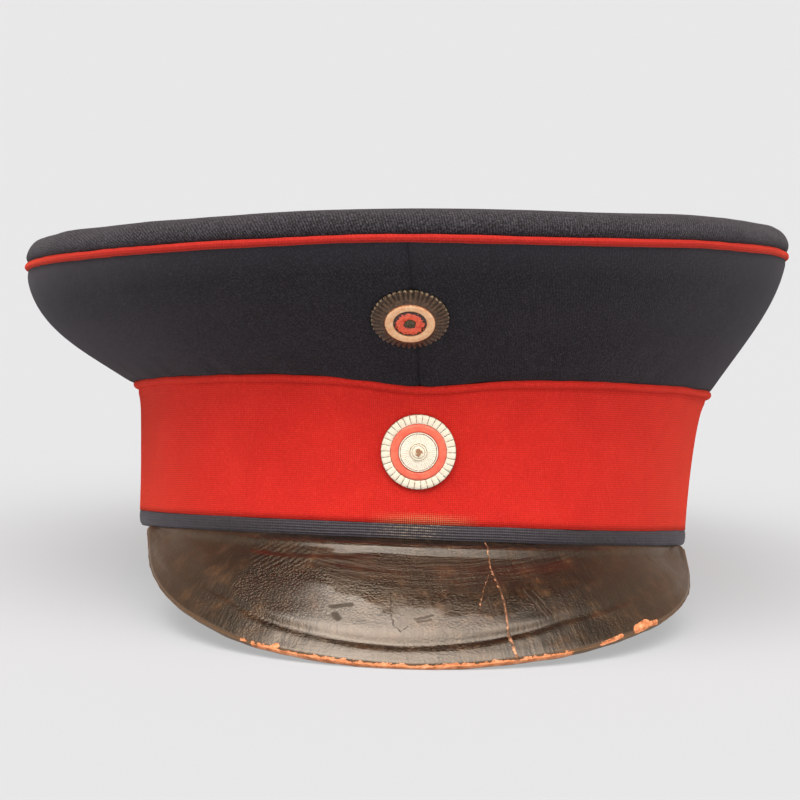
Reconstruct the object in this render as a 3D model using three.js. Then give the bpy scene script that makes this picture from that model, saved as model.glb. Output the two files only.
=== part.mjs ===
// A peaked cloth cap, standing by itself on its peak and the back of its hem.
//
// The cap is made upright first, in its own frame: the oval hem lies near z = 0, the front is -Y and the
// wearer's left is +X. Then it is tipped back until the peak's edge and the back of the hem stand on the
// floor, z = 0. Millimetres throughout.
//
// Cloth pieces are plain three.js solids drawn over a block: a lathed ring or a divided box gives the
// closed solid, and the block moves its points out to the oval, the flare and the slump of the real cap.
import * as THREE from 'three';
import { mergeVertices } from 'three/addons/utils/BufferGeometryUtils.js';

// ---------------------------------------------------------------- driving dimensions
const HEAD = { halfWidth: 82.9, halfLength: 100.4 };   // outside of the band at its foot
const GAP = 0.3;                                       // between pieces that are sewn together
const CLOTH = 2.0;                                     // crown cloth with its padding
const BAND = { wall: 2.4, foot: 4.9, flarePower: 1.7 };
const FRONT_SEAM = { foot: 0.6, rim: -1.1 };           // the front seam leans: degrees off the middle
const BELLY = { skew: 1.6, fullness: 0.65 };            // the crown's side swells most above its middle
const BINDING = { height: 4.6, proud: 0.1, inner: -2.5, round: 0.9 };
const RIM_CORD = { radius: 1.15, sides: 6 };
const SEAM_CORD = { radius: 1.1, sides: 6, out: 0.9 };
const ROLL = { lift: 1.45, overhang: 0.4, height: 8.8, edge: 6, dome: 1.6 };
const PEAK = { thickness: 2.3, root: -2.2, along: 30, across: 8 };
const GIVE = 0.45;                                     // how far hem and peak press flat on the floor
const ROUND = 60;                                      // facets around the head
const LATHE_RADIUS = 100;                              // neutral radius of a ring before blocking

// The block, one row a section round the head. angle: 0 front, 90 wearer's left. hem: height of the hem.
// flare: how far the band leans out at its top. seat: height of the seam between band and crown.
// reach and rim: how far out and how high the rim is. belly: how far the crown's side swells between.
const BLOCK = [
  { angle: 0, hem: 0.7, flare: 2.0, seat: 42.8, reach: 42.0, rim: 83.0, belly: 0.5 },
  { angle: 18, hem: 0.3, flare: 2.5, seat: 45.0, reach: 41.0, rim: 83.6, belly: 1.0 },
  { angle: 45, hem: -0.3, flare: 3.6, seat: 45.6, reach: 36.0, rim: 85.5, belly: 2.3 },
  { angle: 90, hem: -0.8, flare: 5.0, seat: 44.4, reach: 26.6, rim: 86.2, belly: 3.1 },
  { angle: 135, hem: -0.4, flare: 4.2, seat: 44.5, reach: 24.0, rim: 84.6, belly: 3.0 },
  { angle: 180, hem: 0.0, flare: 3.0, seat: 45.0, reach: 23.0, rim: 81.0, belly: 3.0 },
  { angle: 225, hem: 0.6, flare: 1.8, seat: 44.5, reach: 28.0, rim: 78.6, belly: 5.0 },
  { angle: 270, hem: 1.1, flare: 1.2, seat: 43.2, reach: 34.1, rim: 77.3, belly: 6.8 },
  { angle: 315, hem: 1.1, flare: 1.4, seat: 44.8, reach: 39.0, rim: 78.8, belly: 4.0 },
  { angle: 342, hem: 1.0, flare: 1.8, seat: 45.2, reach: 41.5, rim: 81.3, belly: 1.2 },
];

// The peak's cut edge: how far it reaches out from the band and how far it drops below the hem.
const PEAK_EDGE = [
  { angle: -67, reach: 1.6, drop: 1.4 },
  { angle: -60, reach: 5.4, drop: 6.4 },
  { angle: -50, reach: 12.4, drop: 13.0 },
  { angle: -35, reach: 22.5, drop: 21.9 },
  { angle: -20, reach: 28.6, drop: 29.5 },
  { angle: 0, reach: 30.6, drop: 32.9 },
  { angle: 20, reach: 29.2, drop: 28.8 },
  { angle: 35, reach: 25.0, drop: 22.5 },
  { angle: 50, reach: 17.0, drop: 15.8 },
  { angle: 63, reach: 8.6, drop: 8.8 },
  { angle: 72, reach: 2.2, drop: 1.2 },
];

// The peak's section from its root to its cut edge, as shares of its run outwards and of its drop: a flat
// strip under the hem, a round shoulder, a shallow valley and a belly down to the edge.
const PEAK_SECTION = [
  { run: 0, fall: 0 },
  { run: 0.14, fall: 0.03 },
  { run: 0.25, fall: 0.15 },
  { run: 0.4, fall: 0.27 },
  { run: 0.7, fall: 0.6 },
  { run: 1, fall: 1 },
];

// Cockades, one row a ring from the outside in: inner and outer radius, the height of the front at each,
// and how many flutes are pressed round it.
const UPPER_COCKADE = [
  { ring: 'fluted_ring', finish: 'blackedMetal', inner: 7.3, outer: 10.8, low: 0.7, high: 1.5, flutes: 42 },
  { ring: 'cream_ring', finish: 'creamEnamel', inner: 4.8, outer: 7.0, low: 2.2, high: 3.0, flutes: 0 },
  { ring: 'red_ring', finish: 'redEnamel', inner: 1.85, outer: 4.5, low: 2.3, high: 2.6, flutes: 0 },
  { ring: 'rivet', finish: 'tarnishedMetal', inner: 0, outer: 1.55, low: 2.4, high: 3.0, flutes: 0 },
];
const LOWER_COCKADE = [
  { ring: 'fluted_ring', finish: 'silveredMetal', inner: 8.0, outer: 10.55, low: 0.7, high: 1.3, flutes: 34 },
  { ring: 'red_ring', finish: 'redEnamel', inner: 5.95, outer: 7.7, low: 1.5, high: 2.0, flutes: 0 },
  { ring: 'disc', finish: 'silveredMetal', inner: 3.1, outer: 5.65, low: 1.7, high: 2.3, flutes: 0 },
  { ring: 'boss', finish: 'silveredMetal', inner: 0, outer: 2.8, low: 2.2, high: 3.2, flutes: 0 },
];
const COCKADE = { facets: 20, fluteDepth: 0.3, standOff: 0.45 };
const UPPER_SPOT = { side: -1.8, share: 0.49 };        // of the crown's height, from the band seam up
const LOWER_SPOT = { side: 1.1, height: 25.5 };

const MATERIALS = {
  navyCloth: { color: 0x2e2b30, roughness: 0.95, metalness: 0 },
  scarletCloth: { color: 0xd83028, roughness: 0.92, metalness: 0 },
  ribbedBinding: { color: 0x46414a, roughness: 0.9, metalness: 0 },
  lacqueredLeather: { color: 0x2a201a, roughness: 0.28, metalness: 0 },
  blackedMetal: { color: 0x2f2620, roughness: 0.45, metalness: 0.8 },
  creamEnamel: { color: 0xe2a97c, roughness: 0.4, metalness: 0 },
  redEnamel: { color: 0xe2523a, roughness: 0.35, metalness: 0 },
  silveredMetal: { color: 0xf2e8d4, roughness: 0.35, metalness: 0.6 },
  tarnishedMetal: { color: 0x5c4f3c, roughness: 0.5, metalness: 0.7 },
};

// ---------------------------------------------------------------- reading the tables
// Value of a column at an angle, on a smooth curve through the rows. A closed table runs on past 360.
function smooth(rows, column, angle, closed = true) {
  const count = rows.length;
  const row = (i) => (closed ? rows[(i + count) % count] : rows[Math.min(Math.max(i, 0), count - 1)]);
  const turn = (i) => (closed ? 360 * Math.floor(i / count) : 0);
  const at = (i) => row(i).angle + turn(i);
  const a = closed ? THREE.MathUtils.euclideanModulo(angle, 360) : angle;
  let i = 0;
  while (i < count - (closed ? 1 : 2) && at(i + 1) <= a) i += 1;
  const span = at(i + 1) - at(i);
  const t = THREE.MathUtils.clamp((a - at(i)) / span, 0, 1);
  const slope = (k) => (row(k + 1)[column] - row(k - 1)[column]) / Math.max(at(k + 1) - at(k - 1), 1e-6);
  const [v0, v1, s0, s1] = [row(i)[column], row(i + 1)[column], slope(i) * span, slope(i + 1) * span];
  const t2 = t * t;
  const t3 = t2 * t;
  return (2 * t3 - 3 * t2 + 1) * v0 + (t3 - 2 * t2 + t) * s0 + (3 * t2 - 2 * t3) * v1 + (t3 - t2) * s1;
}

// Point on the head oval at an angle, moved out along the oval's normal, at a height.
function onOval(angle, out, height) {
  const t = THREE.MathUtils.degToRad(angle);
  const normal = new THREE.Vector2(Math.sin(t) / HEAD.halfWidth, -Math.cos(t) / HEAD.halfLength).normalize();
  const x = HEAD.halfWidth * Math.sin(t) + normal.x * out;
  const y = -HEAD.halfLength * Math.cos(t) + normal.y * out;
  return new THREE.Vector3(x, y, height);
}

// ---------------------------------------------------------------- solids drawn over the block
// A ring lathed from a closed profile of (out, height) points; place(angle, out, height) blocks it.
function ring(profile, place) {
  const points = [...profile, profile[0]].map(([out, height]) => new THREE.Vector2(LATHE_RADIUS + out, height));
  return blocked(new THREE.LatheGeometry(points, ROUND), (p) => {
    const angle = THREE.MathUtils.radToDeg(Math.atan2(p.x, p.z));
    return place(angle, Math.hypot(p.x, p.z) - LATHE_RADIUS, p.y);
  });
}

// A curved panel from a divided box: place(u, v, w), each 0 to 1 along, across and through the panel.
function panel(along, across, place) {
  const geometry = new THREE.BoxGeometry(1, 1, 1, along, across, 1);
  return blocked(geometry, (p) => place(p.x + 0.5, p.y + 0.5, p.z + 0.5));
}

// Moves every point of a closed solid and welds what meets, so that the solid stays closed.
function blocked(geometry, move) {
  geometry.deleteAttribute('normal');
  geometry.deleteAttribute('uv');
  const position = geometry.getAttribute('position');
  const point = new THREE.Vector3();
  for (let i = 0; i < position.count; i += 1) {
    const moved = move(point.fromBufferAttribute(position, i));
    position.setXYZ(i, moved.x, moved.y, moved.z);
  }
  const welded = mergeVertices(geometry, 1e-4);
  dropFlatTriangles(welded);
  welded.computeVertexNormals();
  return welded;
}

// Where a lathe's points meet on its axis, welding leaves triangles with two equal corners.
function dropFlatTriangles(geometry) {
  const index = geometry.getIndex().array;
  const kept = [];
  for (let i = 0; i < index.length; i += 3) {
    const [a, b, c] = [index[i], index[i + 1], index[i + 2]];
    if (a !== b && b !== c && c !== a) kept.push(a, b, c);
  }
  geometry.setIndex(kept);
}

function piece(name, finish, geometry) {
  const mesh = new THREE.Mesh(geometry, new THREE.MeshStandardMaterial(MATERIALS[finish]));
  mesh.name = name;
  return mesh;
}

// ---------------------------------------------------------------- band, binding and cords
const circle = (radius, sides) => Array.from({ length: sides }, (_, i) => {
  const t = (2 * Math.PI * i) / sides;
  return [radius * Math.cos(t), radius * Math.sin(t)];
});

// How far the band leans out at a share of its height.
const flareAt = (angle, share) => smooth(BLOCK, 'flare', angle) * Math.max(share, 0) ** BAND.flarePower;

function bandPiece() {
  const shares = [0, 0.5, 0.8, 1];
  const outside = shares.map((share) => [0, share]);
  const inside = [...shares].reverse().map((share) => [-BAND.wall, share]);
  return piece('band', 'scarletCloth', ring([...outside, ...inside], (angle, out, share) => {
    const foot = BAND.foot + smooth(BLOCK, 'hem', angle);
    const top = smooth(BLOCK, 'seat', angle) - SEAM_CORD.radius - GAP;
    return onOval(angle, out + flareAt(angle, share), foot + (top - foot) * share);
  }));
}

function bindingPiece() {
  const { height, proud, inner, round } = BINDING;
  const profile = [
    [inner + 0.5 * round, 0],
    [proud - 1.5 * round, 0],
    [proud - 0.3 * round, 0.7 * round],
    [proud, height / 2],
    [proud - 0.2, height],
    [inner, height],
    [inner, round],
  ];
  return piece('hem_binding', 'ribbedBinding', ring(profile, (angle, out, up) => (
    onOval(angle, out, up + smooth(BLOCK, 'hem', angle))
  )));
}

function seamCordPiece() {
  const profile = circle(SEAM_CORD.radius, SEAM_CORD.sides);
  return piece('seam_piping', 'scarletCloth', ring(profile, (angle, out, up) => (
    onOval(angle, out + SEAM_CORD.out + flareAt(angle, 1), up + smooth(BLOCK, 'seat', angle))
  )));
}

function rimCordPiece() {
  const profile = circle(RIM_CORD.radius, RIM_CORD.sides);
  return piece('crown_piping', 'scarletCloth', ring(profile, (angle, out, up) => (
    onOval(angle, out + smooth(BLOCK, 'reach', angle), up + smooth(BLOCK, 'rim', angle))
  )));
}

// ---------------------------------------------------------------- crown
const bellyAt = (share) => Math.sin(Math.PI * share ** BELLY.skew) ** BELLY.fullness;

// Point on the crown's side, share 0 at the seam and 1 at the rim, depth measured inwards through the cloth.
function onSide(angle, share, depth) {
  const foot = new THREE.Vector2(flareAt(angle, 1) + SEAM_CORD.out, smooth(BLOCK, 'seat', angle));
  const rim = new THREE.Vector2(smooth(BLOCK, 'reach', angle), smooth(BLOCK, 'rim', angle));
  const rise = rim.clone().sub(foot);
  const length = rise.length();
  const swell = smooth(BLOCK, 'belly', angle) * bellyAt(share);
  const across = (swell - depth) / length;
  return onOval(
    angle,
    foot.x + rise.x * share + rise.y * across,
    foot.y + rise.y * share - rise.x * across,
  );
}

// One half of the crown's side, from the front seam round to the back seam, between the two cords.
function crownSidePiece(name, fromAngle, toAngle) {
  return piece(name, 'navyCloth', panel(ROUND / 2, 6, (u, v, w) => {
    const straight = THREE.MathUtils.lerp(fromAngle, toAngle, u);
    const frontness = Math.max(Math.cos(THREE.MathUtils.degToRad(straight)), 0);
    const angle = straight + frontness * THREE.MathUtils.lerp(FRONT_SEAM.foot, FRONT_SEAM.rim, v);
    const height = smooth(BLOCK, 'rim', angle) - smooth(BLOCK, 'seat', angle);
    const start = (SEAM_CORD.radius + GAP) / height;
    const end = 1 - (RIM_CORD.radius + GAP) / height;
    return onSide(angle, THREE.MathUtils.lerp(start, end, v), CLOTH * (1 - w));
  }));
}

// The flat top with its rolled edge: a lathed profile of (out from the rim, height above it), which runs
// from the middle out along the inside and back along the outside.
function crownTopPiece() {
  const { lift, overhang, height, edge, dome } = ROLL;
  const roll = height - lift;
  const profile = [
    [-LATHE_RADIUS, height + dome - CLOTH],
    [-60, height + 0.6 * dome - CLOTH],
    [-18, height - CLOTH],
    [-edge, 0.94 * height - CLOTH],
    [-1.6 - 0.7 * CLOTH, lift + 0.5 * roll],
    [-CLOTH, lift],
    [-0.4, lift],
    [overhang, lift + 0.25 * roll],
    [-1.4, lift + 0.7 * roll],
    [-edge, 0.94 * height],
    [-18, height],
    [-60, height + 0.6 * dome],
    [-LATHE_RADIUS, height + dome],
  ];
  const points = profile.map(([out, up]) => new THREE.Vector2(LATHE_RADIUS + out, up));
  const middle = crownMiddle();
  return piece('crown_top', 'navyCloth', blocked(new THREE.LatheGeometry(points, ROUND), (p) => {
    const angle = THREE.MathUtils.radToDeg(Math.atan2(p.x, p.z));
    const out = Math.hypot(p.x, p.z) - LATHE_RADIUS;
    const reach = smooth(BLOCK, 'reach', angle) + Math.max(out, -edge);
    const rim = onOval(angle, reach, smooth(BLOCK, 'rim', angle));
    const share = Math.max((-out - edge) / (LATHE_RADIUS - edge), 0);
    return rim.lerp(middle, share).add(new THREE.Vector3(0, 0, p.y));
  }));
}

// Middle of the rim, where the top's sections meet.
function crownMiddle() {
  const rows = BLOCK.map((row) => onOval(row.angle, row.reach, row.rim));
  const box = new THREE.Box3().setFromPoints(rows);
  return box.getCenter(new THREE.Vector3());
}

// ---------------------------------------------------------------- peak
// Point on the peak. share is 0 at the root and 1 at the edge, depth is measured down through the leather.
function onPeak(angle, share, depth) {
  const reach = smooth(PEAK_EDGE, 'reach', angle, false) - PEAK.root;
  const drop = smooth(PEAK_EDGE, 'drop', angle, false);
  const points = PEAK_SECTION.map(({ run, fall }) => new THREE.Vector2(reach * run, -drop * fall));
  const section = new THREE.SplineCurve(points);
  const point = section.getPoint(share);
  const run = section.getTangent(share);
  const top = smooth(BLOCK, 'hem', angle) - GAP;
  return onOval(angle, PEAK.root + point.x + run.y * depth, top + point.y - run.x * depth);
}

function peakPiece() {
  const [first, last] = [PEAK_EDGE[0].angle, PEAK_EDGE[PEAK_EDGE.length - 1].angle];
  return piece('peak', 'lacqueredLeather', panel(PEAK.along, PEAK.across, (u, v, w) => (
    onPeak(THREE.MathUtils.lerp(first, last, u), 1 - v, PEAK.thickness * (1 - w))
  )));
}

// ---------------------------------------------------------------- cockades
// One ring of a cockade, facing +Z with its back in z = 0, or a button where the inner radius is 0.
function cockadeRing(name, { finish, inner, outer, low, high, flutes }) {
  const facets = flutes > 0 ? flutes * 2 : COCKADE.facets;
  const front = inner > 0
    ? [[outer, low], [inner + 0.3 * (outer - inner), high], [inner, 0.75 * high]]
    : [[outer, 0.6 * low], [0.55 * outer, 0.94 * high], [0, high]];
  const profile = [[inner, 0], [outer, 0], ...front];
  if (inner > 0) profile.push(profile[0]);
  const geometry = new THREE.LatheGeometry(profile.map(([r, up]) => new THREE.Vector2(r, up)), facets);
  return piece(name, finish, blocked(geometry, (p) => {
    const radius = Math.hypot(p.x, p.z);
    const angle = Math.atan2(p.x, p.z);
    const step = Math.round((angle / (2 * Math.PI)) * facets);
    const groove = flutes > 0 && step % 2 !== 0 && p.y > 0 ? COCKADE.fluteDepth : 0;
    const notch = flutes > 0 && step % 2 !== 0 && radius > outer - 0.1 ? COCKADE.fluteDepth : 0;
    const r = radius - notch;
    return new THREE.Vector3(r * Math.sin(angle), -r * Math.cos(angle), p.y - groove);
  }));
}

// A cockade lying on the cloth: it stands off the nap a little and faces along the surface's normal.
function cockade(name, rows, centre, facing) {
  const group = new THREE.Group();
  group.add(...rows.map((row) => cockadeRing(`${name}_${row.ring}`, row)));
  group.position.copy(centre).addScaledVector(facing, COCKADE.standOff);
  group.quaternion.setFromUnitVectors(new THREE.Vector3(0, 0, 1), facing);
  return group;
}

function lowerCockade() {
  const rise = smooth(BLOCK, 'seat', 0) - BAND.foot;
  const share = (LOWER_SPOT.height - BAND.foot) / rise;
  const lean = smooth(BLOCK, 'flare', 0) / rise;
  const centre = onOval(0, flareAt(0, share), LOWER_SPOT.height).setX(LOWER_SPOT.side);
  return cockade('band_cockade', LOWER_COCKADE, centre, new THREE.Vector3(0, -1, -lean).normalize());
}

function upperCockade() {
  const { side, share } = UPPER_SPOT;
  const centre = onSide(0, share, 0).setX(side);
  const along = onSide(0, share + 0.1, 0).sub(onSide(0, share - 0.1, 0));
  const facing = new THREE.Vector3(1, 0, 0).cross(along).normalize();
  return cockade('crown_cockade', UPPER_COCKADE, centre, facing);
}

// ---------------------------------------------------------------- the cap, tipped onto the floor
// The cap rests on its peak's edge and the back of its hem, which give a little under its weight:
// it is let down by that much, and what would lie below the floor is pressed flat on it.
function pressOnFloor(mesh) {
  const toFloor = mesh.matrixWorld;
  const fromFloor = toFloor.clone().invert();
  const position = mesh.geometry.getAttribute('position');
  const point = new THREE.Vector3();
  for (let i = 0; i < position.count; i += 1) {
    point.fromBufferAttribute(position, i).applyMatrix4(toFloor);
    if (point.z < 0) {
      point.setZ(0).applyMatrix4(fromFloor);
      position.setXYZ(i, point.x, point.y, point.z);
    }
  }
  mesh.geometry.computeVertexNormals();
}

// The tilt at which the peak's lower edge and the back of the hem stand level.
function restTilt() {
  const tip = onPeak(0, 1, PEAK.thickness);
  const heel = onOval(180, BINDING.proud - 1.5 * BINDING.round, smooth(BLOCK, 'hem', 180));
  return Math.atan2(heel.z - tip.z, heel.y - tip.y);
}

const halfSlot = THREE.MathUtils.radToDeg(GAP / 2 / (HEAD.halfWidth + CLOTH));
const binding = bindingPiece();
const peak = peakPiece();
const cap = new THREE.Group();
cap.add(
  crownTopPiece(),
  rimCordPiece(),
  crownSidePiece('crown_side_left', halfSlot, 180 - halfSlot),
  crownSidePiece('crown_side_right', 180 + halfSlot, 360 - halfSlot),
  seamCordPiece(),
  bandPiece(),
  binding,
  peak,
  upperCockade(),
  lowerCockade(),
);
cap.rotation.x = -restTilt();
const box = new THREE.Box3().setFromObject(cap, true);
const middle = box.getCenter(new THREE.Vector3());
cap.position.set(-middle.x, -middle.y, -box.min.z - GIVE);
cap.updateMatrixWorld(true);
[binding, peak].forEach(pressOnFloor);

const peakedCap = new THREE.Group();
peakedCap.name = 'peaked_cap';
peakedCap.add(cap);

export default peakedCap;
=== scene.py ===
# %% [markdown]
# # A peaked cloth cap
#
# The cap is a stiff scarlet band, a wide dark blue crown that leans out over it, scarlet piping along both
# of the crown's seams, a lacquered leather peak and two ring cockades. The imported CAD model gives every
# piece its place and size. This file gives each one its real surface: cloth that tucks into its seams,
# cords, leather with a shoulder and a groove, and fluted metal rings.

import math
from bisect import bisect
from functools import lru_cache

import bmesh
import bpy
from mathutils import Matrix, Vector, noise


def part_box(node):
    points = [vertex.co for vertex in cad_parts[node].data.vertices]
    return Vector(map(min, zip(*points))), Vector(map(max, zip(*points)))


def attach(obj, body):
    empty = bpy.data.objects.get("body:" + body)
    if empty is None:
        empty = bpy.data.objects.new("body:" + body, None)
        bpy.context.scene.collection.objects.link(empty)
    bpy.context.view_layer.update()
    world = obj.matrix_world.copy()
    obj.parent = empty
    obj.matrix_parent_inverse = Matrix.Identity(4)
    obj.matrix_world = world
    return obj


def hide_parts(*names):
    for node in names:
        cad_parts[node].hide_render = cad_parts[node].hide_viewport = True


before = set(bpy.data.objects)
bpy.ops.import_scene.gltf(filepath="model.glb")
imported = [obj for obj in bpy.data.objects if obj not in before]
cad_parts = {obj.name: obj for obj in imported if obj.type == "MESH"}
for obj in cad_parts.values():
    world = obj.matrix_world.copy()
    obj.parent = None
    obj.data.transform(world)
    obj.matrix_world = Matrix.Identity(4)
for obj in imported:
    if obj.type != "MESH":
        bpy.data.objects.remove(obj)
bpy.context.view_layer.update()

# %% [markdown]
# ## The block
#
# A cap maker draws the cloth over a wooden block. Here the block is a short table: one row for each section
# round the head, 0 at the front and 90 at the wearer's left, and a smooth curve through the rows of each
# column. A row says how high the hem is, how far the band flares, how high the lower piping sits (seat), how
# far out and how high the upper piping is (reach, rim), and how much the crown's side swells (belly). These
# are the sections that the CAD model is made from, in millimetres, so the pieces fit it.

# %% The block's sections
MM = 0.001
HALF_WIDTH, HALF_LENGTH = 82.9, 100.4
COLUMNS = ("angle", "hem", "flare", "seat", "reach", "rim", "belly")
BLOCK = [
    (0, 0.7, 2.0, 42.8, 42.0, 83.0, 0.5),
    (18, 0.3, 2.5, 45.0, 41.0, 83.6, 1.0),
    (45, -0.3, 3.6, 45.6, 36.0, 85.5, 2.3),
    (90, -0.8, 5.0, 44.4, 26.6, 86.2, 3.1),
    (135, -0.4, 4.2, 44.5, 24.0, 84.6, 3.0),
    (180, 0.0, 3.0, 45.0, 23.0, 81.0, 3.0),
    (225, 0.6, 1.8, 44.5, 28.0, 78.6, 5.0),
    (270, 1.1, 1.2, 43.2, 34.1, 77.3, 6.8),
    (315, 1.1, 1.4, 44.8, 39.0, 78.8, 4.0),
    (342, 1.0, 1.8, 45.2, 41.5, 81.3, 1.2),
]
PEAK_COLUMNS = ("angle", "reach", "drop")
# At its two ends the soft leather is drawn up against the hem, so it drops less there than the CAD's.
PEAK_EDGE = [
    (-67, 1.6, 0.2),
    (-60, 5.4, 6.4),
    (-50, 12.4, 13.0),
    (-35, 22.5, 21.9),
    (-20, 28.6, 29.5),
    (0, 30.6, 32.9),
    (20, 29.2, 28.8),
    (35, 25.0, 22.5),
    (50, 17.0, 15.8),
    (63, 8.6, 8.8),
    (72, 2.2, 0.2),
]


def hermite(before, start, end, after, at):
    """The smooth curve between two (place, value) points, with the points on either side of them."""
    span = end[0] - start[0]
    t = min(max((at - start[0]) / span, 0), 1)
    leave = (end[1] - before[1]) / max(end[0] - before[0], 1e-6) * span
    arrive = (after[1] - start[1]) / max(after[0] - start[0], 1e-6) * span
    return (
        (2 * t**3 - 3 * t**2 + 1) * start[1]
        + (t**3 - 2 * t**2 + t) * leave
        + (3 * t**2 - 2 * t**3) * end[1]
        + (t**3 - t**2) * arrive
    )


@lru_cache(maxsize=None)
def block(column, angle):
    """A column of the block at an angle. The table closes on itself."""
    index = COLUMNS.index(column)
    rows = [(row[0] + turn, row[index]) for turn in (-360, 0, 360) for row in BLOCK]
    angle %= 360
    k = max(i for i, row in enumerate(rows) if row[0] <= angle)
    return hermite(rows[k - 1], rows[k], rows[k + 1], rows[k + 2], angle)


@lru_cache(maxsize=None)
def peak_edge(column, angle):
    """A column of the peak's table at an angle. The table is open, so its end rows count twice."""
    index = PEAK_COLUMNS.index(column)
    rows = [(row[0], row[index]) for row in PEAK_EDGE]
    rows = [rows[0], *rows, rows[-1]]
    k = max(i for i in range(1, len(rows) - 2) if rows[i][0] <= max(angle, rows[1][0]))
    return hermite(rows[k - 1], rows[k], rows[k + 1], rows[k + 2], angle)


def on_oval(angle, out, up):
    """A point out from the head's oval along its normal, in the cap's own upright frame."""
    t = math.radians(angle)
    normal = Vector((math.sin(t) / HALF_WIDTH, -math.cos(t) / HALF_LENGTH)).normalized()
    x = HALF_WIDTH * math.sin(t) + normal.x * out
    y = -HALF_LENGTH * math.cos(t) + normal.y * out
    return Vector((x, y, up))


@lru_cache(maxsize=None)
def round_head(angle):
    """Millimetres along the foot of the band from the front, so that a weave keeps its size all round."""
    steps = max(2, math.ceil(abs(angle)))
    points = [on_oval(angle * i / steps, 0, 0) for i in range(steps + 1)]
    length = sum((b - a).length for a, b in zip(points, points[1:]))
    return math.copysign(length, angle)


print("head girth", round(2 * round_head(180)), "mm")

# %% [markdown]
# ## Standing the cap on the floor
#
# The cap rests on its peak and on the back of its hem, so it leans back a little. The lean is the slope
# between those two lines of contact. Its place is read from the frame: the rim's piping is drawn as the CAD
# draws it, and what separates the two boxes is the move.

# %% The move from the cap's own frame to the floor
GAP = 0.3
SEAM_CORD, SEAM_OUT = 1.1, 0.9
RIM_CORD = 1.15
PEAK_ROOT, PEAK_THICK = -2.2, 2.3
EDGE_RUN, EDGE_FALL = 0.3, 0.4  # the last stretch of the peak's section, as shares of its reach and drop
HEEL_OUT = -1.25


def box_of(points):
    """The lowest and the highest corner of the box round some points."""
    low = Vector([min(p[i] for p in points) for i in range(3)])
    high = Vector([max(p[i] for p in points) for i in range(3)])
    return low, high


def rest_lean():
    """The slope between the peak's edge and the back of the hem, in radians."""
    reach, drop = peak_edge("reach", 0) - PEAK_ROOT, peak_edge("drop", 0)
    slope = Vector((reach * EDGE_RUN, -drop * EDGE_FALL)).normalized()
    tip_up = block("hem", 0) - GAP - drop - slope.x * PEAK_THICK
    tip = on_oval(0, PEAK_ROOT + reach + slope.y * PEAK_THICK, tip_up)
    heel = on_oval(180, HEEL_OUT, block("hem", 180))
    return math.atan2(heel.z - tip.z, heel.y - tip.y)


def cad_rim_cord():
    """The points of the rim's piping as the CAD draws it: six sides, every six degrees."""
    for angle in range(0, 360, 6):
        for side in range(6):
            turn = math.radians(60 * side)
            yield on_oval(
                angle,
                block("reach", angle) + RIM_CORD * math.cos(turn),
                block("rim", angle) + RIM_CORD * math.sin(turn),
            )


LEAN = Matrix.Rotation(-rest_lean(), 4, "X")
drawn_low, drawn_high = box_of([LEAN @ point for point in cad_rim_cord()])
cord_low, cord_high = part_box("crown_piping")
move = (cord_low + cord_high) / 2 - (drawn_low + drawn_high) / 2 * MM
STAND = Matrix.Translation(move) @ LEAN @ Matrix.Scale(MM, 4)
print("lean", round(math.degrees(rest_lean()), 2), "degrees")
print("move", [round(1000 * side, 2) for side in move], "mm")
misfit = (cord_high - cord_low) - (drawn_high - drawn_low) * MM
print("box sizes differ by", [round(1000 * side, 3) for side in misfit], "mm")

# %% [markdown]
# ## Camera, floor and light
#
# The cap is seen from the front, a little above the hem, from 1.2 m through a long lens, with the camera
# turned a degree and a half. The studio is a pale floor and a world that is bright in places: a large soft
# lamp above the front, brighter in its middle, two low panels at the sides, and dim cards high behind it that
# keep the leather's flanks dark. Each is a patch of directions with soft edges, because lacquered leather
# shows a lamp's edges. A small side lamp lifts the cloth on the right. The floor is a frosted sheet on a
# light table: half of its brightness comes from below, so shadows stay faint. Where the camera sees past the
# floor's end it sees plain pale grey, so that a low view isn't of the lamps.

# %% The camera
AIM_UP = 41.0
DISTANCE = 1.2
ELEVATION = math.radians(7.84)
CAMERA_ROLL = math.radians(1.5)
SIDEWAYS = -0.00442
LENS = 177.3

camera = bpy.data.objects.new("camera", bpy.data.cameras.new("camera"))
bpy.context.scene.collection.objects.link(camera)
bpy.context.scene.camera = camera
camera.data.lens = LENS
camera.data.clip_start = 0.05
camera.data.clip_end = 100
back = Vector((0, -math.cos(ELEVATION), math.sin(ELEVATION)))
turn = (-back).to_track_quat("-Z", "Y").to_matrix() @ Matrix.Rotation(CAMERA_ROLL, 3, "Z")
aim = STAND @ Vector((0, 0, AIM_UP)) + turn @ Vector((SIDEWAYS, 0, 0))
camera.matrix_world = Matrix.Translation(aim + back * DISTANCE) @ turn.to_4x4()
print("camera at", [round(c, 3) for c in camera.matrix_world.translation])


# %% A colour, and a node with its settings and links
def colour(code):
    """An sRGB hex colour as the linear one that the shaders use."""
    parts = [int(code[i : i + 2], 16) / 255 for i in (1, 3, 5)]
    return (*[p / 12.92 if p <= 0.04045 else ((p + 0.055) / 1.055) ** 2.4 for p in parts], 1)


def add(tree, kind, links=None, stops=None, **settings):
    """
    Adds a shader node and returns its first live output. links gives each input a value or another node's
    output, stops are a ramp's colours, and settings are the node's own properties.
    """
    made = tree.nodes.new("ShaderNode" + kind)
    for name, value in settings.items():
        setattr(made, name, value)
    for socket, value in (links or {}).items():
        if isinstance(value, bpy.types.NodeSocket):
            tree.links.new(value, made.inputs[socket])
        else:
            made.inputs[socket].default_value = value
    if stops:
        ramp = made.color_ramp.elements
        while len(ramp) < len(stops):
            ramp.new(0.5)
        for element, (place, value) in zip(ramp, stops):
            element.position = place
            element.color = colour(value)
    return next((socket for socket in made.outputs if socket.enabled), None)


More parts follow.
